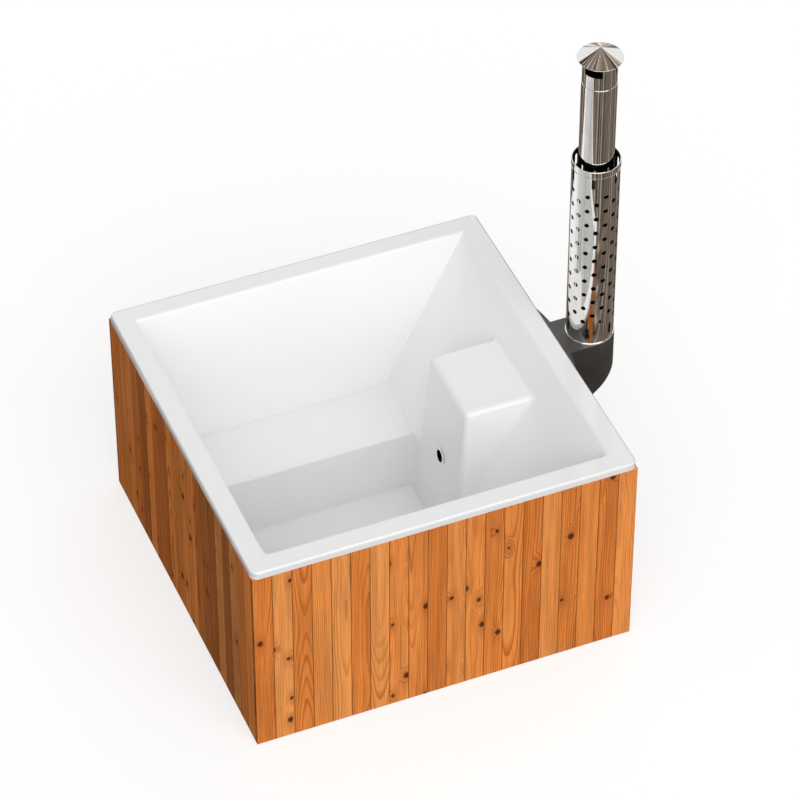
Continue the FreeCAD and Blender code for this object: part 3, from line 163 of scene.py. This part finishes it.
# How far each rounding reaches from its edge, in millimetres
softness = {
    "A1A2 A2A3 A3A4 A4A1": 10, "A1B1 A2B2": 45, "A3B3 A4B4": 6, "B1B2 B3B4 B1C1 B4C4": 12, "C1C4": 8,
    "B2C2 B3C3": 12, "C1C2 C3C4": 15, "C1D1 C4D4": 20, "C2D2 C3D3": 16, "D1D2 D2D3 D3D4 D4D1": 8,
    "C2M1 C3M4": 10, "M1N2 M4N3": 20, "N2N3": 12, "M1N1 M4N4 N1N4 N1N2 N3N4": 26,
    "E1E2 E2E3 E3E4 E4E1": 11, "E1F1 E2F2 E3F3 E4F4": 38,
}
bm = bmesh.new()
spots = {name: bm.verts.new(at) for name, at in corners.items()}
for sheet in sheets.split():
    bm.faces.new([spots[sheet[i:i + 2]] for i in range(0, len(sheet), 2)])
reach = bm.edges.layers.float.new("bevel_weight_edge")
for pairs, soft in softness.items():
    for pair in pairs.split():
        bm.edges.get((spots[pair[:2]], spots[pair[2:]]))[reach] = soft / SOFTEST_MM
bmesh.ops.recalc_face_normals(bm, faces=bm.faces[:])
bm.faces.ensure_lookup_table()
if bm.faces[0].normal.z < 0:
    bmesh.ops.reverse_faces(bm, faces=bm.faces[:])
blank = bpy.data.meshes.new("liner_blank")
bm.to_mesh(blank)
bm.free()
former = bpy.data.objects.new("liner_blank", blank)
bpy.context.scene.collection.objects.link(former)
rounding = former.modifiers.new("edges", "BEVEL")
rounding.limit_method = "WEIGHT"
rounding.width = SOFTEST_MM / 1000
rounding.segments = 8
rounding.use_clamp_overlap = False
formed = bpy.data.meshes.new_from_object(former.evaluated_get(bpy.context.evaluated_depsgraph_get()))
bpy.data.objects.remove(former)
bm = bmesh.new()
bm.from_mesh(formed)
bpy.data.meshes.remove(formed)
bpy.data.meshes.remove(blank)
# A narrow margin round each broad flat, so that a rounding's shade stays off it
broad = [face for face in bm.faces if face.calc_area() > 0.01 and len(face.verts) > 3]
bmesh.ops.inset_individual(bm, faces=broad, thickness=MARGIN, use_even_offset=True)
# Holes for the two water ports in the leaning face, and for the drain in the floor
ports = (Vector((-0.9976, 0, 0.0698)), PORT, PORT_LEAN, ((0.35235, 0, 0.505), (0.3296, -0.1, 0.18)))
drain = (Vector((0, 0, 1)), DRAIN, 0, ((-0.21175, 0, FLOOR),))
for facing, radius, lean, middles in (ports, drain):
    flat = [f for f in bm.faces if f.normal.dot(facing) > 0.9999 and f.calc_area() > 0.2]
    wall = min(flat, key=lambda f: f.calc_center_median().z)
    border = list(wall.edges)
    bmesh.ops.delete(bm, geom=[wall], context="FACES_ONLY")
    for middle in middles:
        at = Matrix.Translation(middle) @ Matrix.Rotation(lean, 4, "Y")
        ring = bmesh.ops.create_circle(bm, segments=32, radius=radius, matrix=at)
        border += list({edge for vert in ring["verts"] for edge in vert.link_edges})
    bmesh.ops.triangle_fill(bm, edges=border, use_beauty=True, normal=facing)
# The holes' edges stay sharp, so that the flat round them keeps its shade
bm.edges.index_update()
cut_edges = [edge.index for edge in bm.edges if edge.is_boundary]
tub = piece("liner_moulding", bm, "liner", acrylic, sharp=80)
for index in cut_edges:
    tub.data.edges[index].use_edge_sharp = True
wall = tub.modifiers.new("wall", "SOLIDIFY")
wall.thickness = WALL
wall.offset = -1

# Cladding: upright larch boards, tongued and grooved, nailed to the rails and oiled.
# Sawn through and through, so each board has its own rings, cathedral figure, knots and tone; the left
# wall's boards are also darkened as painted shade.


def calc(tree, operation, *values):
    """One sum on up to three values."""
    return add(tree, "Math", dict(enumerate(values)), operation=operation)


def lots(tree, tag):
    """Three random numbers that are the same wherever the tag is."""
    draw = add(tree, "TexWhiteNoise", {"W": tag}, noise_dimensions="1D")
    return add(tree, "SeparateColor", {0: draw.outputs[1]}).outputs


def blend(tree, share, first, second):
    """A colour between two, by the second one's share."""
    return add(tree, "Mix", {"Factor": share, 6: first, 7: second}, data_type="RGBA").outputs[2]


def larch(name, across, half, pitch, seed, darkest_tone_with_painted_shade=0.95):
    """Oiled larch on one wall; each board passes the pith at its own slant, and each board's random tone
    goes down to the lowest share given, which on the left wall is set low as painted shade.
    """
    material, tree, shader = finish(name, "#d17e41", 0.45)
    shader.inputs["Specular IOR Level"].default_value = 0.08
    place = add(tree, "SeparateXYZ", {0: add(tree, "TexCoord").outputs["Object"]}).outputs
    up = place["Z"]
    count = calc(tree, "MULTIPLY_ADD", place[across], 1 / pitch, half / pitch)
    board = calc(tree, "FLOOR", count)
    tag = calc(tree, "ADD", board, seed)
    side = calc(tree, "MULTIPLY_ADD", calc(tree, "FRACT", count), pitch, -pitch / 2)
    cut = lots(tree, tag)
    mood = lots(tree, calc(tree, "ADD", tag, 57.3))
    deep = calc(tree, "MULTIPLY", tag, 5.3)

    def drawn_out(across_rate, along_rate):
        """A place on the board for noise that repeats so often per metre across it and along it."""
        x = calc(tree, "MULTIPLY", side, across_rate)
        y = calc(tree, "MULTIPLY", up, along_rate)
        return add(tree, "CombineXYZ", {0: x, 1: y, 2: deep})

    # Knots: a few to a board, 18 to 44 mm across with their soft edge, where the rings bend round them
    cell_wide, cell_tall = 0.1, 0.24
    cell_x = calc(tree, "MULTIPLY_ADD", side, 1 / cell_wide, deep)
    cell_z = calc(tree, "MULTIPLY_ADD", up, 1 / cell_tall, deep)
    cells = add(tree, "CombineXYZ", {0: cell_x, 1: cell_z})
    spread_out = {"Vector": cells, "Scale": 1.0, "Randomness": 0.75}
    knots = add(tree, "TexVoronoi", spread_out, voronoi_dimensions="2D").outputs
    border = add(tree, "TexVoronoi", spread_out, voronoi_dimensions="2D", feature="DISTANCE_TO_EDGE")
    inner = remap(tree, border, (0.0, 0.14), interpolation_type="SMOOTHSTEP")
    from_heart = add(tree, "VectorMath", {0: cells, 1: knots["Position"]}, operation="SUBTRACT")
    oval = add(tree, "VectorMath", {0: from_heart, 1: (1.0, 1.9, 0.0)}, operation="MULTIPLY")
    from_knot = add(tree, "VectorMath", {0: oval}, operation="LENGTH").outputs["Value"]
    lot = add(tree, "SeparateColor", {0: knots["Color"]}).outputs
    rare = remap(tree, mood[1], target=(0.25, 1.15))
    chosen = calc(tree, "GREATER_THAN", lot[0], rare)
    size = remap(tree, lot[1], target=(0.09, 0.22))
    rough_edge = add(tree, "TexNoise", {"Vector": cells, "Scale": 14.0, "Detail": 2.0})
    ragged = calc(tree, "MULTIPLY_ADD", rough_edge, 0.09, -0.045)
    away = calc(tree, "ADD", from_knot, ragged)
    hard = calc(tree, "MULTIPLY", size, 0.4)
    core = remap(tree, away, (size, hard), interpolation_type="SMOOTHSTEP")
    core = calc(tree, "MULTIPLY", core, chosen)
    reach = calc(tree, "ADD", size, 0.26)
    halo = remap(tree, knots["Distance"], (reach, 0.03), interpolation_type="SMOOTHSTEP")
    halo = calc(tree, "MULTIPLY", halo, inner)
    halo = calc(tree, "MULTIPLY", halo, chosen)
    # Growth rings, drawn 5 to 9 mm apart so that they show at this distance
    off = calc(tree, "MULTIPLY_ADD", cut[0], 0.26, -0.13)
    beside = calc(tree, "SUBTRACT", side, off)
    slant = calc(tree, "MULTIPLY_ADD", cut[2], 0.07, -0.035)
    start = calc(tree, "MULTIPLY_ADD", cut[1], 0.055, 0.03)
    lean = calc(tree, "MULTIPLY_ADD", up, slant, start)
    along = calc(tree, "MULTIPLY_ADD", up, 1.5, deep)
    bow = add(tree, "TexNoise", {"W": along, "Detail": 0.0, "Scale": 1.0}, noise_dimensions="1D")
    depth = calc(tree, "MULTIPLY_ADD", bow, 0.03, lean)
    square = calc(tree, "MULTIPLY", depth, depth)
    squares = calc(tree, "MULTIPLY_ADD", beside, beside, square)
    round_pith = calc(tree, "SQRT", squares)
    sway = add(tree, "TexNoise", {"Vector": drawn_out(12.0, 1.1), "Scale": 1.0, "Detail": 2.0})
    swayed = calc(tree, "MULTIPLY_ADD", sway, 0.012, round_pith)
    bent = calc(tree, "MULTIPLY_ADD", halo, 0.022, swayed)
    spread = remap(tree, mood[0], target=(110.0, 190.0))
    years = calc(tree, "MULTIPLY", bent, spread)
    season = calc(tree, "FRACT", years)
    year = calc(tree, "MULTIPLY_ADD", tag, 31.0, calc(tree, "FLOOR", years))
    kind = add(tree, "TexWhiteNoise", {"W": year}, noise_dimensions="1D")
    late_wood = [(0.0, "#303030"), (0.5, "#000000"), (0.88, "#ffffff"), (0.96, "#ffffff"), (1.0, "#303030")]
    late = add(tree, "ValToRGB", {"Fac": season}, late_wood)
    late = calc(tree, "MULTIPLY", late, remap(tree, kind, target=(0.25, 1.0)))
    # Fibres and slow changes of tone along the board
    fibre = add(tree, "TexNoise", {"Vector": drawn_out(260.0, 7.0), "Scale": 1.0, "Detail": 3.0})
    stain = add(tree, "TexNoise", {"Vector": drawn_out(38.0, 1.8), "Scale": 1.0, "Detail": 2.0})
    light_tones = [(0.0, "#e2823c"), (0.3, "#ef9046"), (0.65, "#f5984e"), (1.0, "#f8a45b")]
    dark_tones = [(0.0, "#a54f1d"), (0.5, "#bd5e23"), (1.0, "#cd6f2c")]
    early = add(tree, "ValToRGB", {"Fac": mood[2]}, light_tones)
    dark = add(tree, "ValToRGB", {"Fac": mood[2]}, dark_tones)
    wood = blend(tree, calc(tree, "MULTIPLY", late, 0.86), early, dark)
    streak = remap(tree, fibre, (0.3, 0.7), (0.9, 1.13))
    cloud = remap(tree, stain, (0.3, 0.7), (0.84, 1.15))
    edge = calc(tree, "ABSOLUTE", side)
    joint = remap(tree, edge, (pitch / 2 - 0.0035, pitch / 2 - 0.0005), (1.0, 0.45))
    # Each board's random tone, between the lowest share and 1; a low share, as on the left wall, is painted
    # shade
    board_tone_and_painted_shade = remap(tree, cut[2], target=(darkest_tone_with_painted_shade, 1.0))
    shade = calc(tree, "MULTIPLY", streak, cloud)
    shade = calc(tree, "MULTIPLY", shade, board_tone_and_painted_shade)
    shade = calc(tree, "MULTIPLY", shade, joint)
    toned = add(tree, "VectorMath", {0: wood, "Scale": shade}, operation="SCALE")
    red = blend(tree, calc(tree, "MULTIPLY", halo, 0.36), toned, tint("#a5501f"))
    knotty = blend(tree, calc(tree, "MULTIPLY", core, 0.9), red, tint("#40200f"))
    tree.links.new(knotty, shader.inputs["Base Color"])
    gloss = remap(tree, late, target=(0.55, 0.7))
    tree.links.new(gloss.outputs[0], shader.inputs["Roughness"])
    relief = calc(tree, "MULTIPLY_ADD", fibre, 0.5, late)
    ridges = add(tree, "Bump", {"Height": relief, "Strength": 0.3, "Distance": 0.0006})
    tree.links.new(ridges.outputs[0], shader.inputs["Normal"])
    return material


dress("front_cladding", larch("oiled_larch_front", "X", 0.9, 0.09, 3))
dress("back_cladding", larch("oiled_larch_back", "X", 0.9, 0.09, 103))
# The left wall's boards are painted darker, down to 0.42, as painted shade on that side
dress("left_cladding", larch("oiled_larch_left_painted_shade", "Y", 0.882, 0.0882, 203, 0.42))
dress("right_cladding", larch("oiled_larch_right", "Y", 0.882, 0.0882, 303))

# Stove: firebox, water jacket, feet, ledges and baffle, cut from steel plate and welded.
# Hot-rolled plate keeps its mill scale, so it is blue-grey, mottled and half dull.


def mottled(name, dark, light, rough, patch, grit, metallic=0.0, relief=0.1):
    """A finish between two tones; patch and grit are its marks' sizes in mm, relief their depth's share."""
    material, tree, shader = finish(name, dark, rough[0], metallic)
    place = add(tree, "TexCoord").outputs["Object"]
    cloud = add(tree, "TexNoise", {"Vector": place, "Scale": 1000 / patch, "Detail": 5.0, "Roughness": 0.6})
    tone = add(tree, "ValToRGB", {"Fac": cloud}, [(0.35, dark), (0.65, light)])
    tree.links.new(tone.outputs[0], shader.inputs["Base Color"])
    sheen = remap(tree, cloud, (0.3, 0.7), rough)
    tree.links.new(sheen.outputs[0], shader.inputs["Roughness"])
    grain = add(tree, "TexNoise", {"Vector": place, "Scale": 1000 / grit, "Detail": 2.0})
    skin = add(tree, "Bump", {"Height": grain, "Strength": 0.2, "Distance": grit * relief / 1000})
    tree.links.new(skin.outputs[0], shader.inputs["Normal"])
    return material


dress("stove_feet stove_jacket firebox firebox_ledges smoke_baffle door_hinge_pins door_heat_plate",
      mottled("hot_rolled_steel", "#47494c", "#77756f", (0.35, 0.6), 55, 3, 1.0))

# Grate: one iron casting that lies loose on the firebox ledges.
# Sand-cast and unmachined, so it is black-grey and grainy.
dress("fire_grate", mottled("sand_cast_iron", "#222222", "#3a3836", (0.65, 0.85), 20, 4))

# Water ports: flanged steel spigots through the liner, with rubber washers, brass nuts and hoses.
# The ports and their clips are polished; the hoses are black and dull, the nuts turned from brass rod.
polished = mottled("polished_stainless", "#f5f3f0", "#fbfaf8", (0.03, 0.07), 70, 20, 1.0, 0.01)
rubber = mottled("black_rubber", "#181818", "#262626", (0.5, 0.7), 12, 3)
brass = mottled("turned_brass", "#a98443", "#c7a45c", (0.2, 0.36), 9, 2, 1.0)
dress("port_fittings hose_clamps", polished)
dress("port_gaskets jacket_hoses", rubber)
dress("port_nuts", brass)

# Drain: a strainer and fitting in the footwell, grey glued pipe and a brass ball valve at the back.
# The pipe is moulded plastic with a satin skin; the lever is cut from polished strip.
grey_pipe = mottled("grey_pipe_plastic", "#74777b", "#85888b", (0.32, 0.46), 45, 4)
dress("drain_nut drain_elbow drain_pipe", grey_pipe)
dress("drain_valve_body drain_ball", brass)
dress("drain_fitting drain_strainer drain_lever", polished)
dress("drain_gasket", rubber)

# Fire door, ash drawer, casing and flue box: folded and welded steel sheet on the stove's front.
# Heat-proof black paint, sprayed on, so it is even and satin with a faint orange peel.


def eased(names, width):
    """Takes the sharpness off a CAD node's edges, as folding, grinding and paint do."""
    for name in names.split():
        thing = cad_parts[name]
        thing.modifiers.new("joined", "WELD").merge_threshold = 0.00001
        edge = thing.modifiers.new("eased", "BEVEL")
        edge.limit_method = "ANGLE"
        edge.angle_limit = math.radians(40)
        edge.width = width
        edge.segments = 2


black = mottled("black_stove_paint", "#252525", "#2b2b2a", (0.36, 0.46), 120, 5)
paint = black.node_tree.nodes["Principled BSDF"].inputs
paint["Specular IOR Level"].default_value = 0.9
paint["IOR"].default_value = 1.65
dress("front_casing flue_box casing_standoffs stove_front_plate smoke_duct door_frame", black)
dress("hinge_lugs fire_door ash_drawer air_slide_guides air_slide latch_catch", black)
eased("door_frame fire_door hinge_lugs latch_catch air_slide air_slide_guides ash_drawer", 0.0008)
eased("flue_box front_casing", 0.0012)
dress("door_handle ash_drawer_knob", polished)

# Door seal: knitted glass-fibre rope, glued round the door's heat plate.
# Its stitches, about 4 mm across, make a soft pale knobbly band.
rope, tree, shader = finish("knitted_glass_rope", "#b8b3a8", 0.9)
place = add(tree, "TexCoord").outputs["Object"]
stitch = add(tree, "TexVoronoi", {"Vector": place, "Scale": 250.0}).outputs["Distance"]
tone = add(tree, "ValToRGB", {"Fac": stitch}, [(0.1, "#c9c4b8"), (0.7, "#8d877b")])
tree.links.new(tone.outputs[0], shader.inputs["Base Color"])
knit = add(tree, "Bump", {"Height": stitch, "Strength": 0.8, "Distance": 0.001}, invert=True)
tree.links.new(knit.outputs[0], shader.inputs["Normal"])
dress("door_gasket", rope)

# Flue: a stainless pipe pushed over the flue box's spigot, with a flat ring at its foot.
# Rolled and polished sheet, so it mirrors the tub and the ground in upright streaks.
FLUE, SHEET, EASE = 1.075, 0.0015, 0.0005
BASE, PIPE, BORE, PIPE_TOP = 1.03, 0.079, 0.077, 2.465
dress("flue_spigot", polished)


def turned(profile, steps=128, begin=0.0, closed=True):
    """A profile of radius and height, turned about the flue's axis from a starting angle."""
    bm = bmesh.new()
    facing = Vector((math.cos(begin), math.sin(begin), 0))
    line = [bm.verts.new(Vector((FLUE, 0, z)) + r * facing) for r, z in profile]
    rest = line[1:] + line[:1] if closed else line[1:]
    edges = [bm.edges.new(pair) for pair in zip(line, rest)]
    bmesh.ops.spin(bm, geom=line + edges, cent=(FLUE, 0, 0), axis=(0, 0, 1), angle=2 * math.pi,
                   steps=steps, use_merge=True)
    bmesh.ops.remove_doubles(bm, verts=bm.verts[:], dist=0.00001)
    bmesh.ops.recalc_face_normals(bm, faces=bm.faces[:])
    return bm


def polish(thing):
    """Gives each corner of a turned piece its face's normal, carried round the flue's axis."""
    normals = []
    for face in thing.data.polygons:
        begin = math.atan2(face.center.y, face.center.x - FLUE)
        for index in face.vertices:
            spot = thing.data.vertices[index].co - Vector((FLUE, 0, 0))
            angle = math.atan2(spot.y, spot.x) - begin if spot.xy.length > 0.001 else 0
            normals.append(Matrix.Rotation(angle, 3, "Z") @ face.normal)
    thing.data.normals_split_custom_set(normals)


pipe = turned([(BORE, BASE), (PIPE, BASE), (PIPE, PIPE_TOP - EASE), (PIPE - EASE, PIPE_TOP),
               (BORE + EASE, PIPE_TOP), (BORE, PIPE_TOP - EASE)])
polish(piece("flue_tube", pipe, "flue_pipe", polished))
foot = turned([(0.0792, BASE), (0.111, BASE), (0.111, 1.0365), (0.1104, 1.0376), (0.1094, 1.038),
               (0.0792, 1.038)])
polish(piece("guard_foot", foot, "guard_base_ring", polished))

# Heat guard: a punched sheet, rolled to a tube round the flue, with tabs bent in from its slots.
# It keeps hands off the hot pipe; a rolled band closes its top edge.
GUARD, LOW, HIGH = 0.1075, 1.038, 2.035
SEAM, HOLE_TURN = math.radians(103.25), 2
COLUMNS, ROWS, FIRST_ROW, ROW_PITCH, HOLE = 16, 10, 1.165, 0.081, 0.0115
SLOT_LOWS, SLOT_END, SLOT_STRAIGHT, SLOT_STEP = (1.068, 1.9425), 0.0085, 0.044, 60
TAB_LONG, TAB_WIDE, TAB_MIDDLE = 0.0275, 0.014, 0.09295
FLATS = 96
girth = 2 * math.pi * GUARD
upright = Matrix.Rotation(math.radians(90), 4, "X")
bm = bmesh.new()
border = [bm.verts.new(at) for at in ((0, 0, LOW), (girth, 0, LOW), (girth, 0, HIGH), (0, 0, HIGH))]
for pair in zip(border, border[1:] + border[:1]):
    bm.edges.new(pair)
for column in range(COLUMNS):
    along = (math.radians(HOLE_TURN + 360 / COLUMNS * column) - SEAM) % (2 * math.pi) * GUARD
    odd = column % 2
    for row in range(ROWS - odd):
        at = Matrix.Translation((along, 0, FIRST_ROW + ROW_PITCH * row + ROW_PITCH / 2 * odd))
        bmesh.ops.create_circle(bm, segments=16, radius=HOLE, matrix=at @ upright)
tabs = []
for turn in range(0, 360, SLOT_STEP):
    along = (math.radians(turn) - SEAM) % (2 * math.pi) * GUARD
    for low in SLOT_LOWS:
        at = Matrix.Translation((along, 0, low + SLOT_END))
        ring = bmesh.ops.create_circle(bm, segments=16, radius=SLOT_END, matrix=at @ upright)
        upper = [vert for vert in ring["verts"] if vert.co.z > low + SLOT_END + 0.0001]
        bmesh.ops.translate(bm, verts=upper, vec=(0, 0, SLOT_STRAIGHT))
        tabs.append((math.radians(turn), low - SHEET / 2))
bmesh.ops.triangle_fill(bm, edges=bm.edges[:], use_beauty=True, normal=(0, -1, 0))
for k in range(1, FLATS):
    everything = bm.verts[:] + bm.edges[:] + bm.faces[:]
    bmesh.ops.bisect_plane(bm, geom=everything, plane_co=(girth * k / FLATS, 0, 0), plane_no=(1, 0, 0))
for vert in bm.verts:
    angle = SEAM + vert.co.x / GUARD
    vert.co = (FLUE + GUARD * math.cos(angle), GUARD * math.sin(angle), vert.co.z)
bmesh.ops.remove_doubles(bm, verts=bm.verts[:], dist=0.00001)
bm.normal_update()
bmesh.ops.solidify(bm, geom=bm.faces[:], thickness=SHEET)
for angle, height in tabs:
    size = Matrix.Diagonal((TAB_LONG, TAB_WIDE, SHEET, 1))
    at = Matrix.Translation((FLUE, 0, height)) @ Matrix.Rotation(angle, 4, "Z")
    bmesh.ops.create_cube(bm, size=1, matrix=at @ Matrix.Translation((TAB_MIDDLE, 0, 0)) @ size)
guard = piece("heat_guard_sheet", bm, "heat_guard", polished)
# Only the outer face is polished; the inside, the hole rims and the tabs' sides are a duller sheet, painted
# near black as painted shade inside the tube
guard.data.materials.append(mottled("rolled_stainless_painted_shade", "#2c2a28", "#3a3835", (0.45, 0.6), 25, 3, 1.0))
# The mirror needs true radial normals, which the punched sheet's uneven triangles don't give
normals = []
for face in guard.data.polygons:
    out = Vector((face.center.x - FLUE, face.center.y, 0)).normalized()
    lie = face.normal.dot(out)
    face.material_index = 0 if lie > 0.9 else 1
    for index in face.vertices:
        spot = guard.data.vertices[index].co
        ray = Vector((spot.x - FLUE, spot.y, 0)).normalized()
        normals.append(ray * math.copysign(1, lie) if abs(lie) > 0.9 else face.normal)
guard.data.normals_split_custom_set(normals)
band = turned([(0.1077, 2.002), (0.1092, 2.002), (0.1103, 2.0026), (0.1107, 2.0038), (0.1103, 2.005),
               (0.1092, 2.0056), (0.1092, 2.0355), (0.1088, 2.0364), (0.108, 2.0367), (0.1055, 2.0367),
               (0.1055, 2.0352), (0.1077, 2.0352)])
polish(piece("guard_band", band, "guard_top_ring", polished))

# Rain cap: a cone of spun sheet on a collar with three windows, which is pushed into the flue.
# The smoke leaves by the windows; the cone keeps rain and leaves out.
COLLAR, COLLAR_LOW, WINDOW_LOW, COLLAR_TOP = 0.0768, 2.405, 2.533, 2.6033
WINDOW_TURN, WINDOW_STEP, WINDOW_WIDE = 68, 120, 66
collar = [(COLLAR, COLLAR_LOW), (COLLAR, WINDOW_LOW), (COLLAR, COLLAR_TOP)]
bm = turned(collar, steps=120, begin=math.radians(WINDOW_TURN), closed=False)
gone = []
for face in bm.faces:
    middle = face.calc_center_median()
    angle = math.degrees(math.atan2(middle.y, middle.x - FLUE)) - WINDOW_TURN
    if middle.z > WINDOW_LOW and angle % WINDOW_STEP < WINDOW_WIDE:
        gone.append(face)
bmesh.ops.delete(bm, geom=gone, context="FACES")
bm.normal_update()
bmesh.ops.solidify(bm, geom=bm.faces[:], thickness=SHEET)
polish(piece("windowed_collar", bm, "cap_collar", polished))
cone = turned([(0.098, 2.592), (0.1004, 2.592), (0.101, 2.5926), (0.1006, 2.5932), (0.0, 2.646),
               (0.0, 2.6444)])
polish(piece("spun_cone", cone, "rain_cap", polished))

# Stage: a white floor, an even white surround, a broad lamp from the front and the photograph's camera.
# The floor is white to the camera; light and reflections meet a brown-grey ground, as the metal shows.
bm = bmesh.new()
bmesh.ops.create_grid(bm, x_segments=1, y_segments=1, size=60)
floor_mesh = bpy.data.meshes.new("floor")
bm.to_mesh(floor_mesh)
bm.free()
floor = bpy.data.objects.new("floor", floor_mesh)
bpy.context.scene.collection.objects.link(floor)
ground, tree, shader = finish("pale_floor", "#5f5c59", 1.0)
shader.inputs["Specular IOR Level"].default_value = 0.0
place = add(tree, "TexCoord").outputs["Object"]
planks = add(tree, "Mapping", {"Vector": place, "Scale": (0.7, 9.0, 1.0)})
boards = add(tree, "TexNoise", {"Vector": planks, "Scale": 1.0, "Detail": 5.0, "Roughness": 0.65})
# Mirrored ground: brown streaks that run out from the flue's foot, paler far away
from_flue = add(tree, "VectorMath", {0: place, 1: (FLUE, 0, 0)}, operation="SUBTRACT")
spot = add(tree, "SeparateXYZ", {0: from_flue}).outputs
bearing = calc(tree, "ARCTAN2", spot["Y"], spot["X"])
fanned = {"W": calc(tree, "MULTIPLY", bearing, 6.0), "Detail": 4.0, "Scale": 1.0, "Roughness": 0.6}
rays = add(tree, "TexNoise", fanned, noise_dimensions="1D")
reach = calc(tree, "MULTIPLY", spot["Y"], spot["Y"])
reach = calc(tree, "MULTIPLY_ADD", spot["X"], spot["X"], reach)
near = remap(tree, reach, (3.6, 5.5), (0.8, 0.25))
marks = add(tree, "Mix", {"Factor": near, 2: rays, 3: boards})
earth = [(0.38, "#2a231e"), (0.46, "#574d44"), (0.55, "#7d7266"), (0.63, "#bdb2a6")]
brown = add(tree, "ValToRGB", {"Fac": marks}, earth)
away = add(tree, "VectorMath", {0: place}, operation="LENGTH")
far = remap(tree, away.outputs["Value"], (5.0, 9.0))
pale = add(tree, "ValToRGB", {"Fac": rays}, [(0.36, "#6b635c"), (0.5, "#b3aba2"), (0.64, "#f0ebe4")])
mirror = add(tree, "Emission", {"Color": blend(tree, far, brown, pale), "Strength": 1.0})
paper = add(tree, "Emission", {"Color": (1, 1, 1, 1), "Strength": 0.62})
white = add(tree, "BsdfDiffuse", {"Color": (0.45, 0.45, 0.45, 1)})
sheet = add(tree, "AddShader", {0: paper, 1: white})
ray = add(tree, "LightPath").outputs
shown = add(tree, "MixShader", {0: ray["Is Glossy Ray"], 1: shader, 2: mirror})
shown = add(tree, "MixShader", {0: ray["Is Camera Ray"], 1: shown, 2: sheet})
tree.links.new(shown.outputs[0], tree.nodes["Material Output"].inputs["Surface"])
floor_mesh.materials.append(ground)

world = bpy.data.worlds.new("studio")
bpy.context.scene.world = world
world.use_nodes = True
tree = world.node_tree
sky = tree.nodes["Background"]
sight = add(tree, "TexCoord").outputs["Generated"]
aim = add(tree, "SeparateXYZ", {0: sight}).outputs
# Mirrored sky: pale, with brown beams overhead except behind the tub
turn = calc(tree, "ARCTAN2", aim["Y"], aim["X"])
fanned = {"W": calc(tree, "MULTIPLY", turn, 8.0), "Detail": 3.0, "Scale": 1.0}
fan = add(tree, "TexNoise", fanned, noise_dimensions="1D")
timber = [(0.36, "#2a221c"), (0.47, "#65574c"), (0.56, "#9c8c7c"), (0.66, "#efe6da")]
beams = add(tree, "ValToRGB", {"Fac": fan}, timber)
high = remap(tree, aim["Z"], (0.6, 0.63))
behind = add(tree, "VectorMath", {0: sight, 1: (0.371, 0.929, 0)}, operation="DOT_PRODUCT").outputs["Value"]
clear = remap(tree, behind, (0.56, 0.62), (1.0, 0.0))
high = calc(tree, "MULTIPLY", high, clear)
ray = add(tree, "LightPath").outputs
inside = calc(tree, "MULTIPLY", high, ray["Is Glossy Ray"])
around = blend(tree, inside, (0.85, 0.85, 0.85, 1), beams)
# Light: even all round, stronger overhead and from a broad window high in front
ahead = add(tree, "VectorMath", {0: sight, 1: (0, -0.64, 0.77)}, operation="DOT_PRODUCT").outputs["Value"]
window = calc(tree, "POWER", calc(tree, "MAXIMUM", ahead, 0.0), 8.0)
lift = calc(tree, "MAXIMUM", aim["Z"], 0.0)
dome = calc(tree, "POWER", lift, 2.0)
crown = calc(tree, "POWER", lift, 8.0)
level = calc(tree, "MULTIPLY_ADD", dome, 0.08, 0.3)
level = calc(tree, "MULTIPLY_ADD", crown, 0.1, level)
level = calc(tree, "MULTIPLY_ADD", window, 1.15, level)
cover = blend(tree, ray["Is Glossy Ray"], level, around)
cover = blend(tree, ray["Is Camera Ray"], cover, (1, 1, 1, 1))
tree.links.new(cover, sky.inputs["Color"])

lamps = (("front_lamp", 2.05, 90, (71, 0, -8)), ("left_lamp", 0.15, 60, (50, 0, -90)),
         ("back_lamp", 0.3, 60, (55, 0, 135)))
for name, strength, spread, turn in lamps:
    lamp = bpy.data.lights.new(name, "SUN")
    lamp.energy = strength
    lamp.angle = math.radians(spread)
    stand = bpy.data.objects.new(name, lamp)
    stand.rotation_euler = [math.radians(angle) for angle in turn]
    stand.visible_glossy = name == "front_lamp"
    bpy.context.scene.collection.objects.link(stand)

camera = bpy.data.cameras.new("camera")
camera.lens = 192.61
camera.sensor_width = 36
camera.clip_end = 100
eye = bpy.data.objects.new("camera", camera)
eye.location = (-5.1824, -12.8661, 13.9823)
eye.rotation_euler = (math.radians(90 - 43.156), 0, math.radians(-22.518))
bpy.context.scene.collection.objects.link(eye)
bpy.context.scene.camera = eye
bpy.context.scene.view_settings.view_transform = "Standard"
